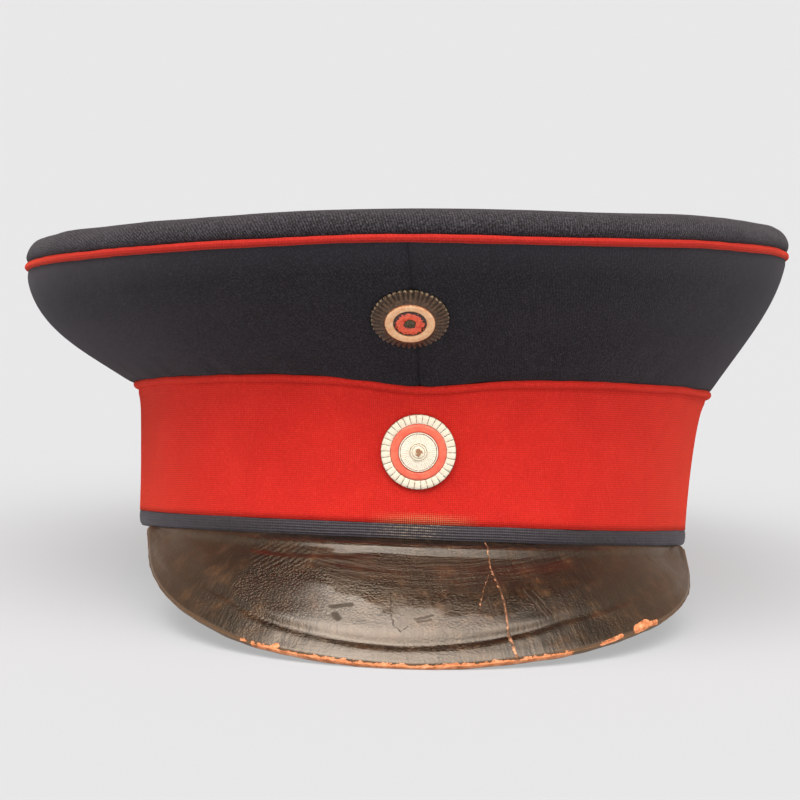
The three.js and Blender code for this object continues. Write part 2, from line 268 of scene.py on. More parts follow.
def blank(name):
    """A new material and its emptied node tree."""
    material = bpy.data.materials.new(name)
    material.use_nodes = True
    tree = material.node_tree
    tree.nodes.clear()
    print("material", name)
    return material, tree


# %% The lights
LAMP, CORE, SIDES, CARDS, ROOM = 5.5, 4.2, 0.78, -0.26, 0.42

scene = bpy.context.scene
scene.view_settings.view_transform = "Standard"
scene.world = bpy.data.worlds.new("studio")
scene.world.use_nodes = True
tree = scene.world.node_tree
tree.nodes.clear()
x, y, z = add(tree, "SeparateXYZ", {0: add(tree, "TexCoord")}).node.outputs
aside = add(tree, "Math", {0: x}, operation="ABSOLUTE")
sideways = add(tree, "Math", {0: x, 1: z}, operation="DIVIDE")
apart = add(tree, "Math", {0: sideways}, operation="ABSOLUTE")
forward = add(tree, "Math", {0: y, 1: z}, operation="DIVIDE")
above = (z, 0, 0.1)
light = ROOM
for strength, edges in (
    (LAMP, (above, (apart, 1.25, 0.3), (forward, -1.45, -0.9), (forward, 0.25, -0.25))),
    (
        CORE,
        (
            above,
            (sideways, -0.9, -0.35),
            (sideways, 0.3, -0.3),
            (forward, -0.85, -0.35),
            (forward, 0.15, -0.2),
        ),
    ),
    (SIDES, ((aside, 0.35, 0.8), (y, 0.35, 0.05), (z, 0.75, 0.5))),
    (CARDS, ((z, 0.2, 0.45), (apart, 0.35, 0.8), (y, -0.1, 0.2))),
):
    shape = 1.0
    for value, dark, lit in edges:
        limits = {"Value": value, "From Min": dark, "From Max": lit}
        edge = add(tree, "MapRange", limits, interpolation_type="SMOOTHSTEP")
        shape = add(tree, "Math", {0: shape, 1: edge}, operation="MULTIPLY")
    light = add(tree, "Math", {0: shape, 1: strength, 2: light}, operation="MULTIPLY_ADD")
glow = add(tree, "Background", {"Color": colour("#fff4e8"), "Strength": light})
backdrop = add(tree, "Background", {"Color": colour("#e8e8e8")})
seen = add(tree, "MixShader", {0: add(tree, "LightPath"), 1: glow, 2: backdrop})
add(tree, "OutputWorld", {"Surface": seen})

lamp = bpy.data.lights.new("side lamp", "AREA")
lamp.shape, lamp.size, lamp.size_y, lamp.energy = "RECTANGLE", 0.8, 1.2, 0.8
side_lamp = bpy.data.objects.new("side lamp", lamp)
side_lamp.location = (1.5, -0.9, 0.7)
side_lamp.rotation_euler = (Vector((0, 0, 0.06)) - side_lamp.location).to_track_quat("-Z", "Y").to_euler()
scene.collection.objects.link(side_lamp)
print("a world of light patches, and a side lamp of", lamp.energy, "watts")

# %% The floor
FLOOR_REACH = 30

floor_mesh = bmesh.new()
bmesh.ops.create_grid(floor_mesh, x_segments=4, y_segments=4, size=FLOOR_REACH)
floor_data = bpy.data.meshes.new("floor")
floor_mesh.to_mesh(floor_data)
floor_mesh.free()
floor = bpy.data.objects.new("floor", floor_data)
scene.collection.objects.link(floor)
frosted, tree = blank("frosted_acrylic_lit_from_below")
surface = {
    "Base Color": colour("#787d85"),
    "Roughness": 0.9,
    "Specular IOR Level": 0.1,
    "Emission Color": colour("#ffffff"),
    "Emission Strength": 0.4,
}
add(tree, "OutputMaterial", {"Surface": add(tree, "BsdfPrincipled", surface)})
floor.data.materials.append(frosted)

# %% [markdown]
# ## One way to make every cloth piece
#
# Each cloth piece starts as a flat divided sheet. Its UVs are set first, while it's flat, in metres along
# and across the cloth, so that threads keep their size when the sheet is bent. Then the sheet's points are
# moved onto the block, the edges that meet are welded, and the piece is stood on the floor. What would go
# below the floor is pressed flat on it.


# %% Sheets laid on the block
WELD = 0.005


def column_angle(i, columns):
    """The angle of a column of a closed ring, from the back round to the back."""
    return -180 + 360 * i / columns


def sheet(columns, rows, place, weave):
    """A divided sheet. place(i, j) gives the point of column i and row j, weave(i, j) its UV in mm."""
    bm = bmesh.new()
    layer = bm.loops.layers.uv.new("cloth")
    bmesh.ops.create_grid(bm, x_segments=columns, y_segments=rows, size=0.5)
    for vert in bm.verts:
        vert.co.x = round((vert.co.x + 0.5) * columns)
        vert.co.y = round((vert.co.y + 0.5) * rows)
    for face in bm.faces:
        for loop in face.loops:
            along, across = weave(int(loop.vert.co.x), int(loop.vert.co.y))
            loop[layer].uv = (along * MM, across * MM)
    for vert in bm.verts:
        vert.co = place(int(vert.co.x), int(vert.co.y))
    return bm


def weld(bm, reach=WELD):
    """Joins the points that meet, fills what is still open and turns the faces outwards."""
    bmesh.ops.remove_doubles(bm, verts=bm.verts, dist=reach)
    bmesh.ops.holes_fill(bm, edges=[edge for edge in bm.edges if edge.is_boundary], sides=0)
    bmesh.ops.recalc_face_normals(bm, faces=bm.faces)


def shell(profile, columns, place):
    """A closed profile of (out, up) points, carried round the head and welded at the back."""
    around = [0]
    for a, b in zip(profile, [*profile[1:], profile[0]]):
        around.append(around[-1] + math.dist(a, b))
    bm = sheet(
        columns,
        len(profile),
        lambda i, j: place(column_angle(i, columns), *profile[j % len(profile)]),
        lambda i, j: (round_head(column_angle(i, columns)), around[j]),
    )
    weld(bm)
    return bm


def finish_piece(name, bm, materials, slot, *nodes):
    """Stands a piece on the floor, smooths its shading and gives it its place in the frame."""
    bm.transform(STAND)
    for vert in bm.verts:
        vert.co.z = max(vert.co.z, 0)
    data = bpy.data.meshes.new(name)
    bm.to_mesh(data)
    bm.free()
    data.polygons.foreach_set("use_smooth", [True] * len(data.polygons))
    piece = bpy.data.objects.new(name, data)
    scene.collection.objects.link(piece)
    for material in materials:
        data.materials.append(material)
    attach(piece, "root")
    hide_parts(*nodes)
    low, high = box_of([vert.co for vert in data.vertices])
    print(name, len(data.polygons), "faces,", [round(1000 * side, 1) for side in high - low], "mm")
    return piece


def ripple(angle, up, size, seed):
    """A soft unevenness of hand-drawn cloth, in -1 to 1, with waves about size millimetres long."""
    point = on_oval(angle, 0, up) / size
    return noise.noise(point + Vector((seed, 0, 0))) * 1.6


def hill(value, middle, width):
    """1 at the middle, falling off smoothly on both sides."""
    return math.exp(-(((value - middle) / width) ** 2))


def tuck(distance, reach, depth):
    """How far cloth turns in where it is this close to a seam: a quarter round, 0 beyond reach."""
    if distance >= reach:
        return 0
    return depth * (1 - math.sqrt(max(0, 1 - (1 - distance / reach) ** 2)))


# %% [markdown]
# ## The crown's cloth
#
# The crown is a firm wool of the darkest blue, woven as a fine twill and felted until the twill hardly
# shows. Up close it is a mat of short fibres, so it has almost no gloss, a weak pale bloom at grazing angles
# and small pale flecks from the mixed dye. Sheen gives the bloom, noises give flecks, patches and lint, and a
# wave gives the twill's wale. The real fibres are 0.02 mm thick, far too fine to show, so they are drawn half
# a millimetre coarse.


# %% Felted navy wool
def wave_scale(pitch):
    """A Wave texture's scale for bands that repeat every pitch millimetres."""
    return math.pi / 10 / (pitch * MM)


def navy_wool(name, twill, paler_by_rim, tones):
    """
    twill is how strongly the slanting wale shows, and the next number how much paler the cloth is drawn
    towards the rim piping. tones are the dye's dark, middle and light, and a fibre's.
    """
    material, tree = blank(name)
    place = add(tree, "TexCoord").node.outputs["Object"]
    threads = add(tree, "UVMap", uv_map="cloth")
    fibres = add(tree, "TexNoise", {"Vector": place, "Scale": 1700, "Detail": 4, "Roughness": 0.85})
    patches = add(tree, "TexNoise", {"Vector": place, "Scale": 110, "Detail": 4, "Roughness": 0.6})
    tangled = {"Vector": place, "Scale": 420, "Detail": 5, "Roughness": 0.8, "Distortion": 2.5}
    lint = add(tree, "TexNoise", tangled)
    slant = add(tree, "Mapping", {"Vector": threads, "Rotation": (0, 0, math.radians(-14))})
    pitch = {"Vector": slant, "Scale": wave_scale(0.75), "Distortion": 3.0, "Detail": 2}
    wale = add(tree, "TexWave", pitch).node.outputs["Fac"]
    broken = add(tree, "MapRange", {"Value": fibres, "From Min": 0.4, "From Max": 0.6, "To Max": twill})
    wale = add(tree, "Math", {0: wale, 1: broken}, operation="MULTIPLY")
    dye = add(tree, "ValToRGB", {"Fac": patches}, [(0.3, tones[0]), (0.5, tones[1]), (0.7, tones[2])])
    fleck = add(tree, "ValToRGB", {"Fac": fibres}, [(0.36, tones[0]), (0.5, tones[1]), (0.64, tones[3])])
    lit = add(tree, "MapRange", {"Value": lint, "From Min": 0.7, "From Max": 0.76, "To Max": 0.6})
    height_up = add(tree, "SeparateXYZ", {0: threads}).node.outputs[1]
    by_rim = {"Value": height_up, "From Min": 43 * MM, "From Max": 54 * MM, "To Max": paler_by_rim}
    by_rim = add(tree, "MapRange", by_rim)
    cloth = dye
    for mask, tone in (
        (0.65, fleck),
        (wale, colour(tones[3])),
        (lit, colour("#7d7a80")),
        (by_rim, colour("#3d3b42")),
    ):
        cloth = add(tree, "Mix", {0: mask, 6: cloth, 7: tone}, data_type="RGBA")
    height = add(tree, "Math", {0: fibres, 1: wale}, operation="ADD")
    surface = {
        "Base Color": cloth,
        "Roughness": 0.92,
        "IOR": 1.5,
        "Specular IOR Level": 0.25,
        "Sheen Weight": 0.2,
        "Sheen Roughness": 0.45,
        "Sheen Tint": colour("#aaa7b2"),
        "Normal": add(tree, "Bump", {"Height": height, "Strength": 0.6, "Distance": 0.25 * MM}),
    }
    add(tree, "OutputMaterial", {"Surface": add(tree, "BsdfPrincipled", surface)})
    return material


crown_wool = navy_wool("felted_navy_wool", 0.2, 0.45, ("#101012", "#17161a", "#1f1e23", "#43414b"))
# The top's copy has darker tones than the side's: painted shade on the up-facing roll, which the lamp above
# lights more.
roll_wool_painted_darker = navy_wool("felted_navy_wool_stretched_painted_darker", 0.8, 0, ("#0a0a0c", "#111013", "#17161a", "#4d4b55"))

# %% [markdown]
# ## The crown's side
#
# Two long curved pieces are sewn together at the front and at the back, and turn in at those seams. Along
# the top and the bottom they tuck behind the piping. The side leans out and slumps: fuller above its
# middle, more on the wearer's right. A few soft dents and small puckers beside the piping keep it from
# looking blown up. Each half is one sheet, given its thickness by a Solidify modifier.

# %% Points on the crown's side
BELLY_SKEW, BELLY_FULLNESS = 1.6, 0.65
FLARE_CURVE = 1.7
FRONT_SEAM_FOOT, FRONT_SEAM_RIM = 0.6, -1.6
FOOT_TUCK, RIM_TUCK, SEAM_TUCK = (2.4, 1.3), (2.2, 1.3), (1.1, 0.45)
DENTS = [  # angle, share of the height, width in degrees, height as a share, depth in mm
    (24, 0.34, 11, 0.2, 0.9),
    (9, 0.72, 5, 0.16, 0.4),
    (-33, 0.45, 14, 0.25, 0.6),
    (-63, 0.3, 12, 0.22, 0.9),
    (52, 0.62, 15, 0.3, 0.7),
    (104, 0.4, 16, 0.3, 1.1),
    (150, 0.5, 18, 0.3, 1.4),
    (206, 0.42, 15, 0.26, 1.5),
    (247, 0.55, 15, 0.3, 0.9),
]


def flare_at(angle, share):
    """How far the band leans out at a share of its height."""
    return block("flare", angle) * max(share, 0) ** FLARE_CURVE


def on_side(angle, share, depth):
    """A point on the crown's side: share 0 at the lower piping, 1 at the upper, and a depth in the cloth."""
    foot = Vector((flare_at(angle, 1) + SEAM_OUT, block("seat", angle)))
    rim = Vector((block("reach", angle), block("rim", angle)))
    rise = rim - foot
    full = max(math.sin(math.pi * max(share, 0) ** BELLY_SKEW), 0) ** BELLY_FULLNESS
    across = (block("belly", angle) * full - depth) / rise.length
    out = foot.x + rise.x * share + rise.y * across
    return on_oval(angle, out, foot.y + rise.y * share - rise.x * across)


def dented(angle, share):
    """How deep all the dents together press the cloth in."""
    total = 0
    for at, height, wide, tall, deep in DENTS:
        total += deep * hill((angle - at + 180) % 360, 180, wide) * hill(share, height, tall)
    return total


def side_slump(angle, share, from_seam):
    """How deep the cloth lies: its turned-in edges, its dents, and the puckers beside the piping."""
    height = block("rim", angle) - block("seat", angle)
    foot_gap, rim_gap = share * height, (1 - share) * height
    edges = tuck(foot_gap, *FOOT_TUCK) + tuck(rim_gap, *RIM_TUCK) + tuck(from_seam, *SEAM_TUCK)
    near = math.exp(-foot_gap / 5) + 0.6 * math.exp(-rim_gap / 4)
    puckers = 0.28 * near * ripple(angle, share * 6, 7, 3)
    soft = 0.35 * ripple(angle, share * 30, 34, 11)
    seam = 0.45 * hill(from_seam, 0, 1.2) - 0.25 * hill(from_seam, 3, 2.2)
    return edges + dented(angle, share) + puckers + soft + seam


# %% The two halves
SIDE_COLUMNS, SIDE_ROWS = 300, 54
SEAM_FACES, ROW_CROWDING = 8, 0.11
SIDE_RUN, SIDE_DEEP = 300, 55  # millimetres of cloth along and up a half
SIDE_SPREAD = 1.2  # how much longer it is than the hem below it
SIDE_MARGIN, SIDE_THICK = 0.4, 1.5


def side_half(name, start, end, node):
    """One half of the crown's side, from seam to seam."""

    def column(i):
        """Columns crowd together beside the seams, where the cloth turns in."""
        near = min(i, SIDE_COLUMNS - i)
        crowd = SEAM_FACES * (near / SEAM_FACES) ** 2 / 2 if near < SEAM_FACES else near - SEAM_FACES / 2
        share = crowd / (SIDE_COLUMNS - SEAM_FACES)
        return share if i * 2 <= SIDE_COLUMNS else 1 - share

    def row(j):
        """Rows crowd together beside the piping."""
        t = j / SIDE_ROWS
        return t - ROW_CROWDING * math.sin(2 * math.pi * t)

    def angle_at(i, j):
        """The angle of a point; the front seam wanders a little between its foot and the rim."""
        straight = start + (end - start) * column(i)
        front = max(math.cos(math.radians(straight)), 0)
        return straight + front * (FRONT_SEAM_FOOT + (FRONT_SEAM_RIM - FRONT_SEAM_FOOT) * row(j))

    def place(i, j):
        angle = angle_at(i, j)
        height = block("rim", angle) - block("seat", angle)
        share = (SIDE_MARGIN + (height - 2 * SIDE_MARGIN) * row(j)) / height
        from_seam = min(column(i), 1 - column(i)) * SIDE_RUN
        return on_side(angle, share, side_slump(angle, share, from_seam))

    bm = sheet(
        SIDE_COLUMNS,
        SIDE_ROWS,
        place,
        lambda i, j: (round_head(start + (end - start) * column(i)) * SIDE_SPREAD, row(j) * SIDE_DEEP),
    )
    piece = finish_piece(name, bm, [crown_wool], "navy_cloth", node)
    wall = piece.modifiers.new("cloth thickness", "SOLIDIFY")
    wall.thickness = SIDE_THICK * MM
    wall.offset = -1
    return piece


side_half("crown_side_cloth_left", 0, 180, "crown_side_left")
side_half("crown_side_cloth_right", 180, 360, "crown_side_right")

# %% [markdown]
# ## The crown's top and its roll
#
# The top is one oval of cloth, stiffened at its edge so that it turns over as a round roll above the piping.
# It is a closed shell: an outer surface from under the piping up over the roll to the middle, and an inner
# one. The cloth is flat in the weaver's sense: its UVs run outwards from the middle by the length of cloth,
# so the twill keeps one direction over the whole top, as on a disc cut from a bolt.

# %% The roll's section and the crown's middle
ROLL = [  # (out from the rim, up from it), from behind the piping up over the roll
    (-1.5, 0.5),
    (0.1, 1.35),
    (0.75, 3.2),
    (-0.2, 5.6),
    (-2.6, 7.5),
    (-6, 8.35),
    (-11, 8.75),
    (-18, 8.9),
]
ROLL_EDGE, ROLL_DOME, TOP_HEIGHT = 6.0, 1.6, 8.9
TOP_WALL = 1.8
MIDDLE_REACH = 100.0


def roll_section():
    """(out from the rim, up from it) along the outside, from behind the piping to the middle."""
    points = []
    last = len(ROLL) - 1
    for k in range(last):
        steps = (k - 1, k, k + 1, k + 2)
        near = [ROLL[min(max(step, 0), last)] for step in steps]
        for t in (k, k + 0.25, k + 0.5, k + 0.75):
            points.append(tuple(hermite(*[(a, b[c]) for a, b in zip(steps, near)], t) for c in (0, 1)))
    edge = ROLL[-1][0]
    for share in (0, 0.06, 0.13, 0.22, 0.32, 0.43, 0.55, 0.68, 0.82, 1):
        dome = ROLL_DOME * math.sin(share * math.pi / 2)
        points.append((edge - (MIDDLE_REACH + edge) * share, TOP_HEIGHT + dome))
    return points


rim_low, rim_high = box_of([on_oval(row[0], row[4], row[5]) for row in BLOCK])
CROWN_MIDDLE = (rim_low + rim_high) / 2


def on_top(angle, out, up):
    """A point on the top: by the rim it follows the rim, and further in it shrinks towards the middle."""
    rim = on_oval(angle, block("reach", angle) + max(out, -ROLL_EDGE), block("rim", angle))
    share = max((-out - ROLL_EDGE) / (MIDDLE_REACH - ROLL_EDGE), 0)
    return rim.lerp(CROWN_MIDDLE, share) + Vector((0, 0, up))


# %% The top
TOP_COLUMNS = 360
outside = roll_section()
inside = [
    (max(out - (TOP_WALL if out > -ROLL_EDGE else 0), -MIDDLE_REACH), up - (0 if up < 2 else TOP_WALL))
    for out, up in outside
]
profile = [*outside, *reversed(inside)]


def top_place(i, j):
    """The top's cloth sags by its edge, waves a little further in, and lies flat in the middle."""
    angle = column_angle(i, TOP_COLUMNS)
    out, up = profile[j]
    edge = hill(out, 0, 5)
    sag = 0.5 * ripple(angle, 0, 22, 5) * edge + 0.25 * ripple(angle, up * 2, 8, 9) * edge
    flat = 1 - min(1, max(0, (-out - ROLL_EDGE) / 60))
    quilt = on_oval(angle, 0, 0) * max(0, 1 + out / MIDDLE_REACH) / 30
    waves = 0.5 * noise.noise(quilt) * (1 if out < -ROLL_EDGE else 0) * (0.4 + 0.6 * flat)
    return on_top(angle, out + 0.5 * sag, up + sag * min(1, max(up / 8, 0)) + waves)


lengths = {}
for i in range(TOP_COLUMNS + 1):
    points = [top_place(i, j) for j in range(len(outside))]
    run = [0]
    for a, b in zip(reversed(points[1:]), reversed(points[:-1])):
        run.append(run[-1] + (b - a).length)
    lengths[i] = list(reversed(run))


def top_weave(i, j):
    """The cloth's own flat plan: the direction from the middle, and the length of cloth from it."""
    j = j if j < len(outside) else len(profile) - 1 - j
    angle = column_angle(i, TOP_COLUMNS)
    plan = (on_top(angle, 0, 0) - CROWN_MIDDLE).to_2d().normalized()
    return plan.x * lengths[i][j], plan.y * lengths[i][j]


bm = sheet(TOP_COLUMNS, len(profile) - 1, top_place, top_weave)
weld(bm)
finish_piece("crown_top_cloth", bm, [roll_wool_painted_darker], "navy_cloth", "crown_top")

# %% [markdown]
# ## Scarlet wool
#
# Band and piping are one scarlet wool cloth, plain woven at about 17 threads to the centimetre. Where it
# still has its nap it looks like felt; where caps and fingers have rubbed it, in the middle of the front,
# the weave shows as a fine grid. Two waves along the cloth's own UVs are the threads, and a noise says
# where the nap is gone. Low on the front the dye has rubbed off and bare tan threads show.


# %% Scarlet wool cloth
def scarlet_wool(name, weave_shows, rubbed, tones):
    """
    weave_shows is how strongly the thread grid shows, and rubbed how much bare tan thread there is by the
    hem. tones are the dye from its darkest to a lit fibre.
    """
    material, tree = blank(name)
    place = add(tree, "TexCoord").node.outputs["Object"]
    threads = add(tree, "UVMap", uv_map="cloth")
    pitch = {"Vector": threads, "Scale": wave_scale(0.58), "Distortion": 0.6}
    grid = 1.0
    for direction in ("X", "Y"):
        thread = add(tree, "TexWave", pitch, bands_direction=direction).node.outputs["Fac"]
        grid = add(tree, "Math", {0: grid, 1: thread}, operation="MULTIPLY")
    worn = add(tree, "TexNoise", {"Vector": place, "Scale": 38, "Detail": 3})
    limits = {"Value": worn, "From Min": 0.36, "From Max": 0.6}
    bare = add(tree, "MapRange", {**limits, "To Min": weave_shows / 2, "To Max": weave_shows})
    fuzz = add(tree, "TexNoise", {"Vector": place, "Scale": 1500, "Detail": 4, "Roughness": 0.75})
    clouds = add(tree, "TexNoise", {"Vector": place, "Scale": 90, "Detail": 6, "Roughness": 0.7})
    dye = add(tree, "ValToRGB", {"Fac": clouds}, [(0.3, tones[1]), (0.55, tones[2]), (0.75, tones[3])])
    nap = add(tree, "ValToRGB", {"Fac": fuzz}, [(0.3, tones[0]), (0.55, tones[2]), (0.8, tones[4])])
    cloth = add(tree, "Mix", {0: 0.5, 6: dye, 7: nap}, data_type="RGBA")
    holes = add(tree, "Math", {0: grid, 1: -0.8, 2: 0.2}, operation="MULTIPLY_ADD")
    shade = add(tree, "Math", {0: holes, 1: bare, 2: 0.2}, operation="MULTIPLY_ADD", use_clamp=True)
    cloth = add(tree, "Mix", {0: shade, 6: cloth, 7: colour("#8e1210")}, data_type="RGBA")
    if rubbed:
        x, y, _ = add(tree, "SeparateXYZ", {0: threads}).node.outputs
        off_middle = add(tree, "Math", {0: x, 1: 3.5 * MM}, operation="SUBTRACT")
        off_middle = add(tree, "Math", {0: off_middle}, operation="ABSOLUTE")
        patch = rubbed
        for value, start, end in ((y, 3.6, 0.9), (off_middle, 16, 3)):
            near = add(tree, "MapRange", {"Value": value, "From Min": start * MM, "From Max": end * MM})
            patch = add(tree, "Math", {0: patch, 1: near}, operation="MULTIPLY")
        for mask in (fuzz, grid):
            patch = add(tree, "Math", {0: patch, 1: mask}, operation="MULTIPLY", use_clamp=True)
        cloth = add(tree, "Mix", {0: patch, 6: cloth, 7: colour("#c99b6c")}, data_type="RGBA")
    height = add(tree, "Math", {0: grid, 1: bare, 2: fuzz}, operation="MULTIPLY_ADD")
    surface = {
        "Base Color": cloth,
        "Roughness": 0.9,
        "IOR": 1.5,
        "Specular IOR Level": 0.25,
        "Sheen Weight": 0.95,
        "Sheen Roughness": 0.4,
        "Sheen Tint": colour("#ff5a40"),
        "Normal": add(tree, "Bump", {"Height": height, "Strength": 0.6, "Distance": 0.2 * MM}),
    }
    add(tree, "OutputMaterial", {"Surface": add(tree, "BsdfPrincipled", surface)})
    return material


fresh = ("#c21d17", "#d2231c", "#e22c22", "#ed382a", "#f95b4b")
darker_cord_tones = ("#84120f", "#9f1d17", "#ab241d", "#b72e25", "#ce5548")
# Slightly brighter than the band's tones: painted light that lifts the seam piping in the crown's shade.
painted_lit_seam_tones = ("#b81a14", "#d4261d", "#e32e24", "#f03a2e", "#fb6354")
band_wool = scarlet_wool("plain_woven_scarlet_wool", 1.0, 3.2, fresh)
piping_wool = scarlet_wool("scarlet_wool_over_cord", 0.9, 0, darker_cord_tones)
seam_wool_painted_lit = scarlet_wool("scarlet_wool_painted_lit_in_crown_shade", 0.9, 0, painted_lit_seam_tones)

# %% [markdown]
# ## The piping
#
# Piping is a strip of the same cloth folded over a cord and caught in the seam. Only the round of the cord
# shows. A small circle is carried along each seam, and swells and pinches a little between the stitches, as
# hand-sewn piping does. The rim's piping has darker tones than the band. The seam's has slightly brighter
# tones: painted light that lifts it in the crown's shade.


# %% Piping cords
CORD_SIDES = 14
CORD_COLUMNS = 420


def cord(name, radius, centre, wander, wool, node):
    """Piping round the whole head. centre(angle) is the cord's middle, and wander how far it sways."""
    circle = [
        (radius * math.cos(2 * math.pi * k / CORD_SIDES), radius * math.sin(2 * math.pi * k / CORD_SIDES))
        for k in range(CORD_SIDES)
    ]

    def place(angle, out, up):
        pinch = 1 + 0.07 * ripple(angle, 0, 4, 21) + 0.05 * ripple(angle, 0, 13, 27)
        sway = wander * ripple(angle, 0, 19, 31)
        across, height = centre(angle)
        return on_oval(angle, across + out * pinch, height + sway + up * pinch)

    finish_piece(name, shell(circle, CORD_COLUMNS, place), [wool], "scarlet_cloth", node)


PRESSED = 0.8


def right_temple(angle):
    """1 over the wearer's right temple, where band, cord and binding are pressed in a little."""
    return hill(angle % 360, 265, 38)


cord(
    "crown_piping_cord",
    RIM_CORD,
    lambda angle: (block("reach", angle) - 0.1, block("rim", angle)),
    0.15,
    piping_wool,
    "crown_piping",
)
cord(
    "seam_piping_cord",
    SEAM_CORD,
    lambda angle: (flare_at(angle, 1) + SEAM_OUT + 0.1 - PRESSED * right_temple(angle), block("seat", angle)),
    0.25,
    seam_wool_painted_lit,
    "seam_piping",
)

# %% [markdown]
# ## The band
#
# The band is the cap's stiff wall: scarlet cloth over buckram. It leans out towards the top, and just below
# the piping it curls out to meet it, with a small fold line under the cord. One closed ring: the outer
# face, a turned-in top edge, and a plain inner face.

# %% The band
BAND_FOOT, BAND_WALL = 4.9, 2.4
BAND_TUCKED, BAND_BELOW_SEAM = 0.3, 0.7
BAND_COLUMNS, BAND_ROWS = 400, 26
BAND_DEEP, INNER_ROW = 39, 6  # millimetres of cloth up the outer face, and to each row of the inner one


def band_place(angle, out, share):
    """A point of the band at a share of its height, with the lip that curls out under the piping."""
    foot = BAND_FOOT - BAND_TUCKED + block("hem", angle)
    top = block("seat", angle) - BAND_BELOW_SEAM
    below = (1 - min(share, 1)) * (top - foot)
    outer = out > -0.2
    lip = math.exp(-((below / 2.6) ** 1.5)) - 0.35 * hill(below, 0.6, 0.8)
    soft = 0.28 * ripple(angle, share * 30, 30, 41) + 0.12 * ripple(angle, share * 20, 10, 43)
    press = (lip + soft - 0.6 * right_temple(angle)) if outer else 0
    return on_oval(angle, out + flare_at(angle, share) + press, foot + (top - foot) * share)


outer_shares = [1 - (1 - k / BAND_ROWS) ** 1.4 for k in range(BAND_ROWS + 1)]
band_profile = [(0, share) for share in outer_shares]
band_profile += [(-0.9, 1.012), (-BAND_WALL, 1.0)]
band_profile += [(-BAND_WALL, share) for share in (0.75, 0.5, 0.25, 0.0)]


def band_weave(index):
    """Millimetres up the band's outer face, and on over the top for the inner one."""
    if index <= BAND_ROWS:
        return outer_shares[index] * BAND_DEEP
    return BAND_DEEP + (index - BAND_ROWS) * INNER_ROW


bm = sheet(
    BAND_COLUMNS,
    len(band_profile),
    lambda i, j: band_place(column_angle(i, BAND_COLUMNS), *band_profile[j % len(band_profile)]),
    lambda i, j: (round_head(column_angle(i, BAND_COLUMNS)), band_weave(j)),
)
weld(bm)
finish_piece("band_cloth", bm, [band_wool], "scarlet_cloth", "band")

# %% [markdown]
# ## The hem's binding
#
# A dark ribbed tape, four and a half millimetres deep, is folded round the band's lower edge. Its ribs run
# along it, and fine weft threads cross them. The real ribs are about half a millimetre apart, too fine to
# show, so they are drawn 0.8 mm apart. In the middle of the front the ribs are rubbed pale. The fold at the
# bottom is round, where the head goes in.

# %% Ribbed tape
ribbed_tape, tree = blank("ribbed_cotton_tape")
threads = add(tree, "UVMap", uv_map="cloth")
place = add(tree, "TexCoord").node.outputs["Object"]
x, y, _ = add(tree, "SeparateXYZ", {0: threads}).node.outputs
off_middle = add(tree, "Math", {0: x}, operation="ABSOLUTE")
rib_pitch = {"Vector": threads, "Scale": wave_scale(0.78), "Distortion": 0.6}
weft_pitch = {"Vector": threads, "Scale": wave_scale(0.55), "Distortion": 0.8}
ribs = add(tree, "TexWave", rib_pitch, bands_direction="Y").node.outputs["Fac"]
weft = add(tree, "TexWave", weft_pitch, bands_direction="X").node.outputs["Fac"]
fuzz = add(tree, "TexNoise", {"Vector": place, "Scale": 900, "Detail": 5, "Roughness": 0.7})
limits = {"Value": off_middle, "From Min": 60 * MM, "From Max": 15 * MM, "To Min": 0.3, "To Max": 1.0}
ribs = add(tree, "Math", {0: ribs, 1: add(tree, "MapRange", limits)}, operation="MULTIPLY")
both = add(tree, "Math", {0: weft, 1: 0.4, 2: ribs}, operation="MULTIPLY_ADD")
height = add(tree, "Math", {0: fuzz, 1: 1.0, 2: both}, operation="MULTIPLY_ADD")
tape_colour = add(
    tree,
    "ValToRGB",
    {"Fac": add(tree, "Math", {0: height, 1: 0.5}, operation="MULTIPLY")},
    [(0.2, "#1f1c20"), (0.5, "#38353b"), (0.85, "#57545e")],
)
limits = {"Value": off_middle, "From Min": 30 * MM, "From Max": 2 * MM, "To Max": 0.9}
rubbed = add(tree, "MapRange", limits)
for part in (fuzz, both):
    rubbed = add(tree, "Math", {0: rubbed, 1: part}, operation="MULTIPLY")
rubbed = add(tree, "MapRange", {"Value": rubbed, "From Min": 0.38, "From Max": 0.7, "To Max": 0.8})
surface = {
    "Base Color": add(tree, "Mix", {0: rubbed, 6: tape_colour, 7: colour("#b9a88c")}, data_type="RGBA"),
    "Roughness": 0.8,
    "Specular IOR Level": 0.3,
    "Sheen Weight": 0.3,
    "Sheen Roughness": 0.4,
    "Sheen Tint": colour("#b4b4c4"),
    "Normal": add(tree, "Bump", {"Height": height, "Strength": 0.8, "Distance": 0.22 * MM}),
}
add(tree, "OutputMaterial", {"Surface": add(tree, "BsdfPrincipled", surface)})

# %% The binding
BIND_HEIGHT, BIND_PROUD, BIND_INNER, BIND_ROUND = 4.6, 0.1, -2.5, 1.2
BIND_COLUMNS = 400


def rounded_foot(steps=6):
    """Quarter turns at the outer and inner corners of the fold."""
    for k in range(steps + 1):
        turn = math.pi / 2 * k / steps
        yield BIND_PROUD - BIND_ROUND * (1 - math.sin(turn)), BIND_ROUND * (1 - math.cos(turn))


foot_turn = list(rounded_foot())
mirrored = [(BIND_INNER + BIND_PROUD - out, up) for out, up in reversed(foot_turn)]
upwards = [(0.12, 2.2), (0.1, 3.4), (-0.05, 4.3), (-0.35, 4.75)]
upwards = [(BIND_PROUD + bulge, up) for bulge, up in upwards]
bind_profile = [*foot_turn, *upwards, (BIND_INNER, BIND_HEIGHT), (BIND_INNER, 3.0), *mirrored[:-1]]


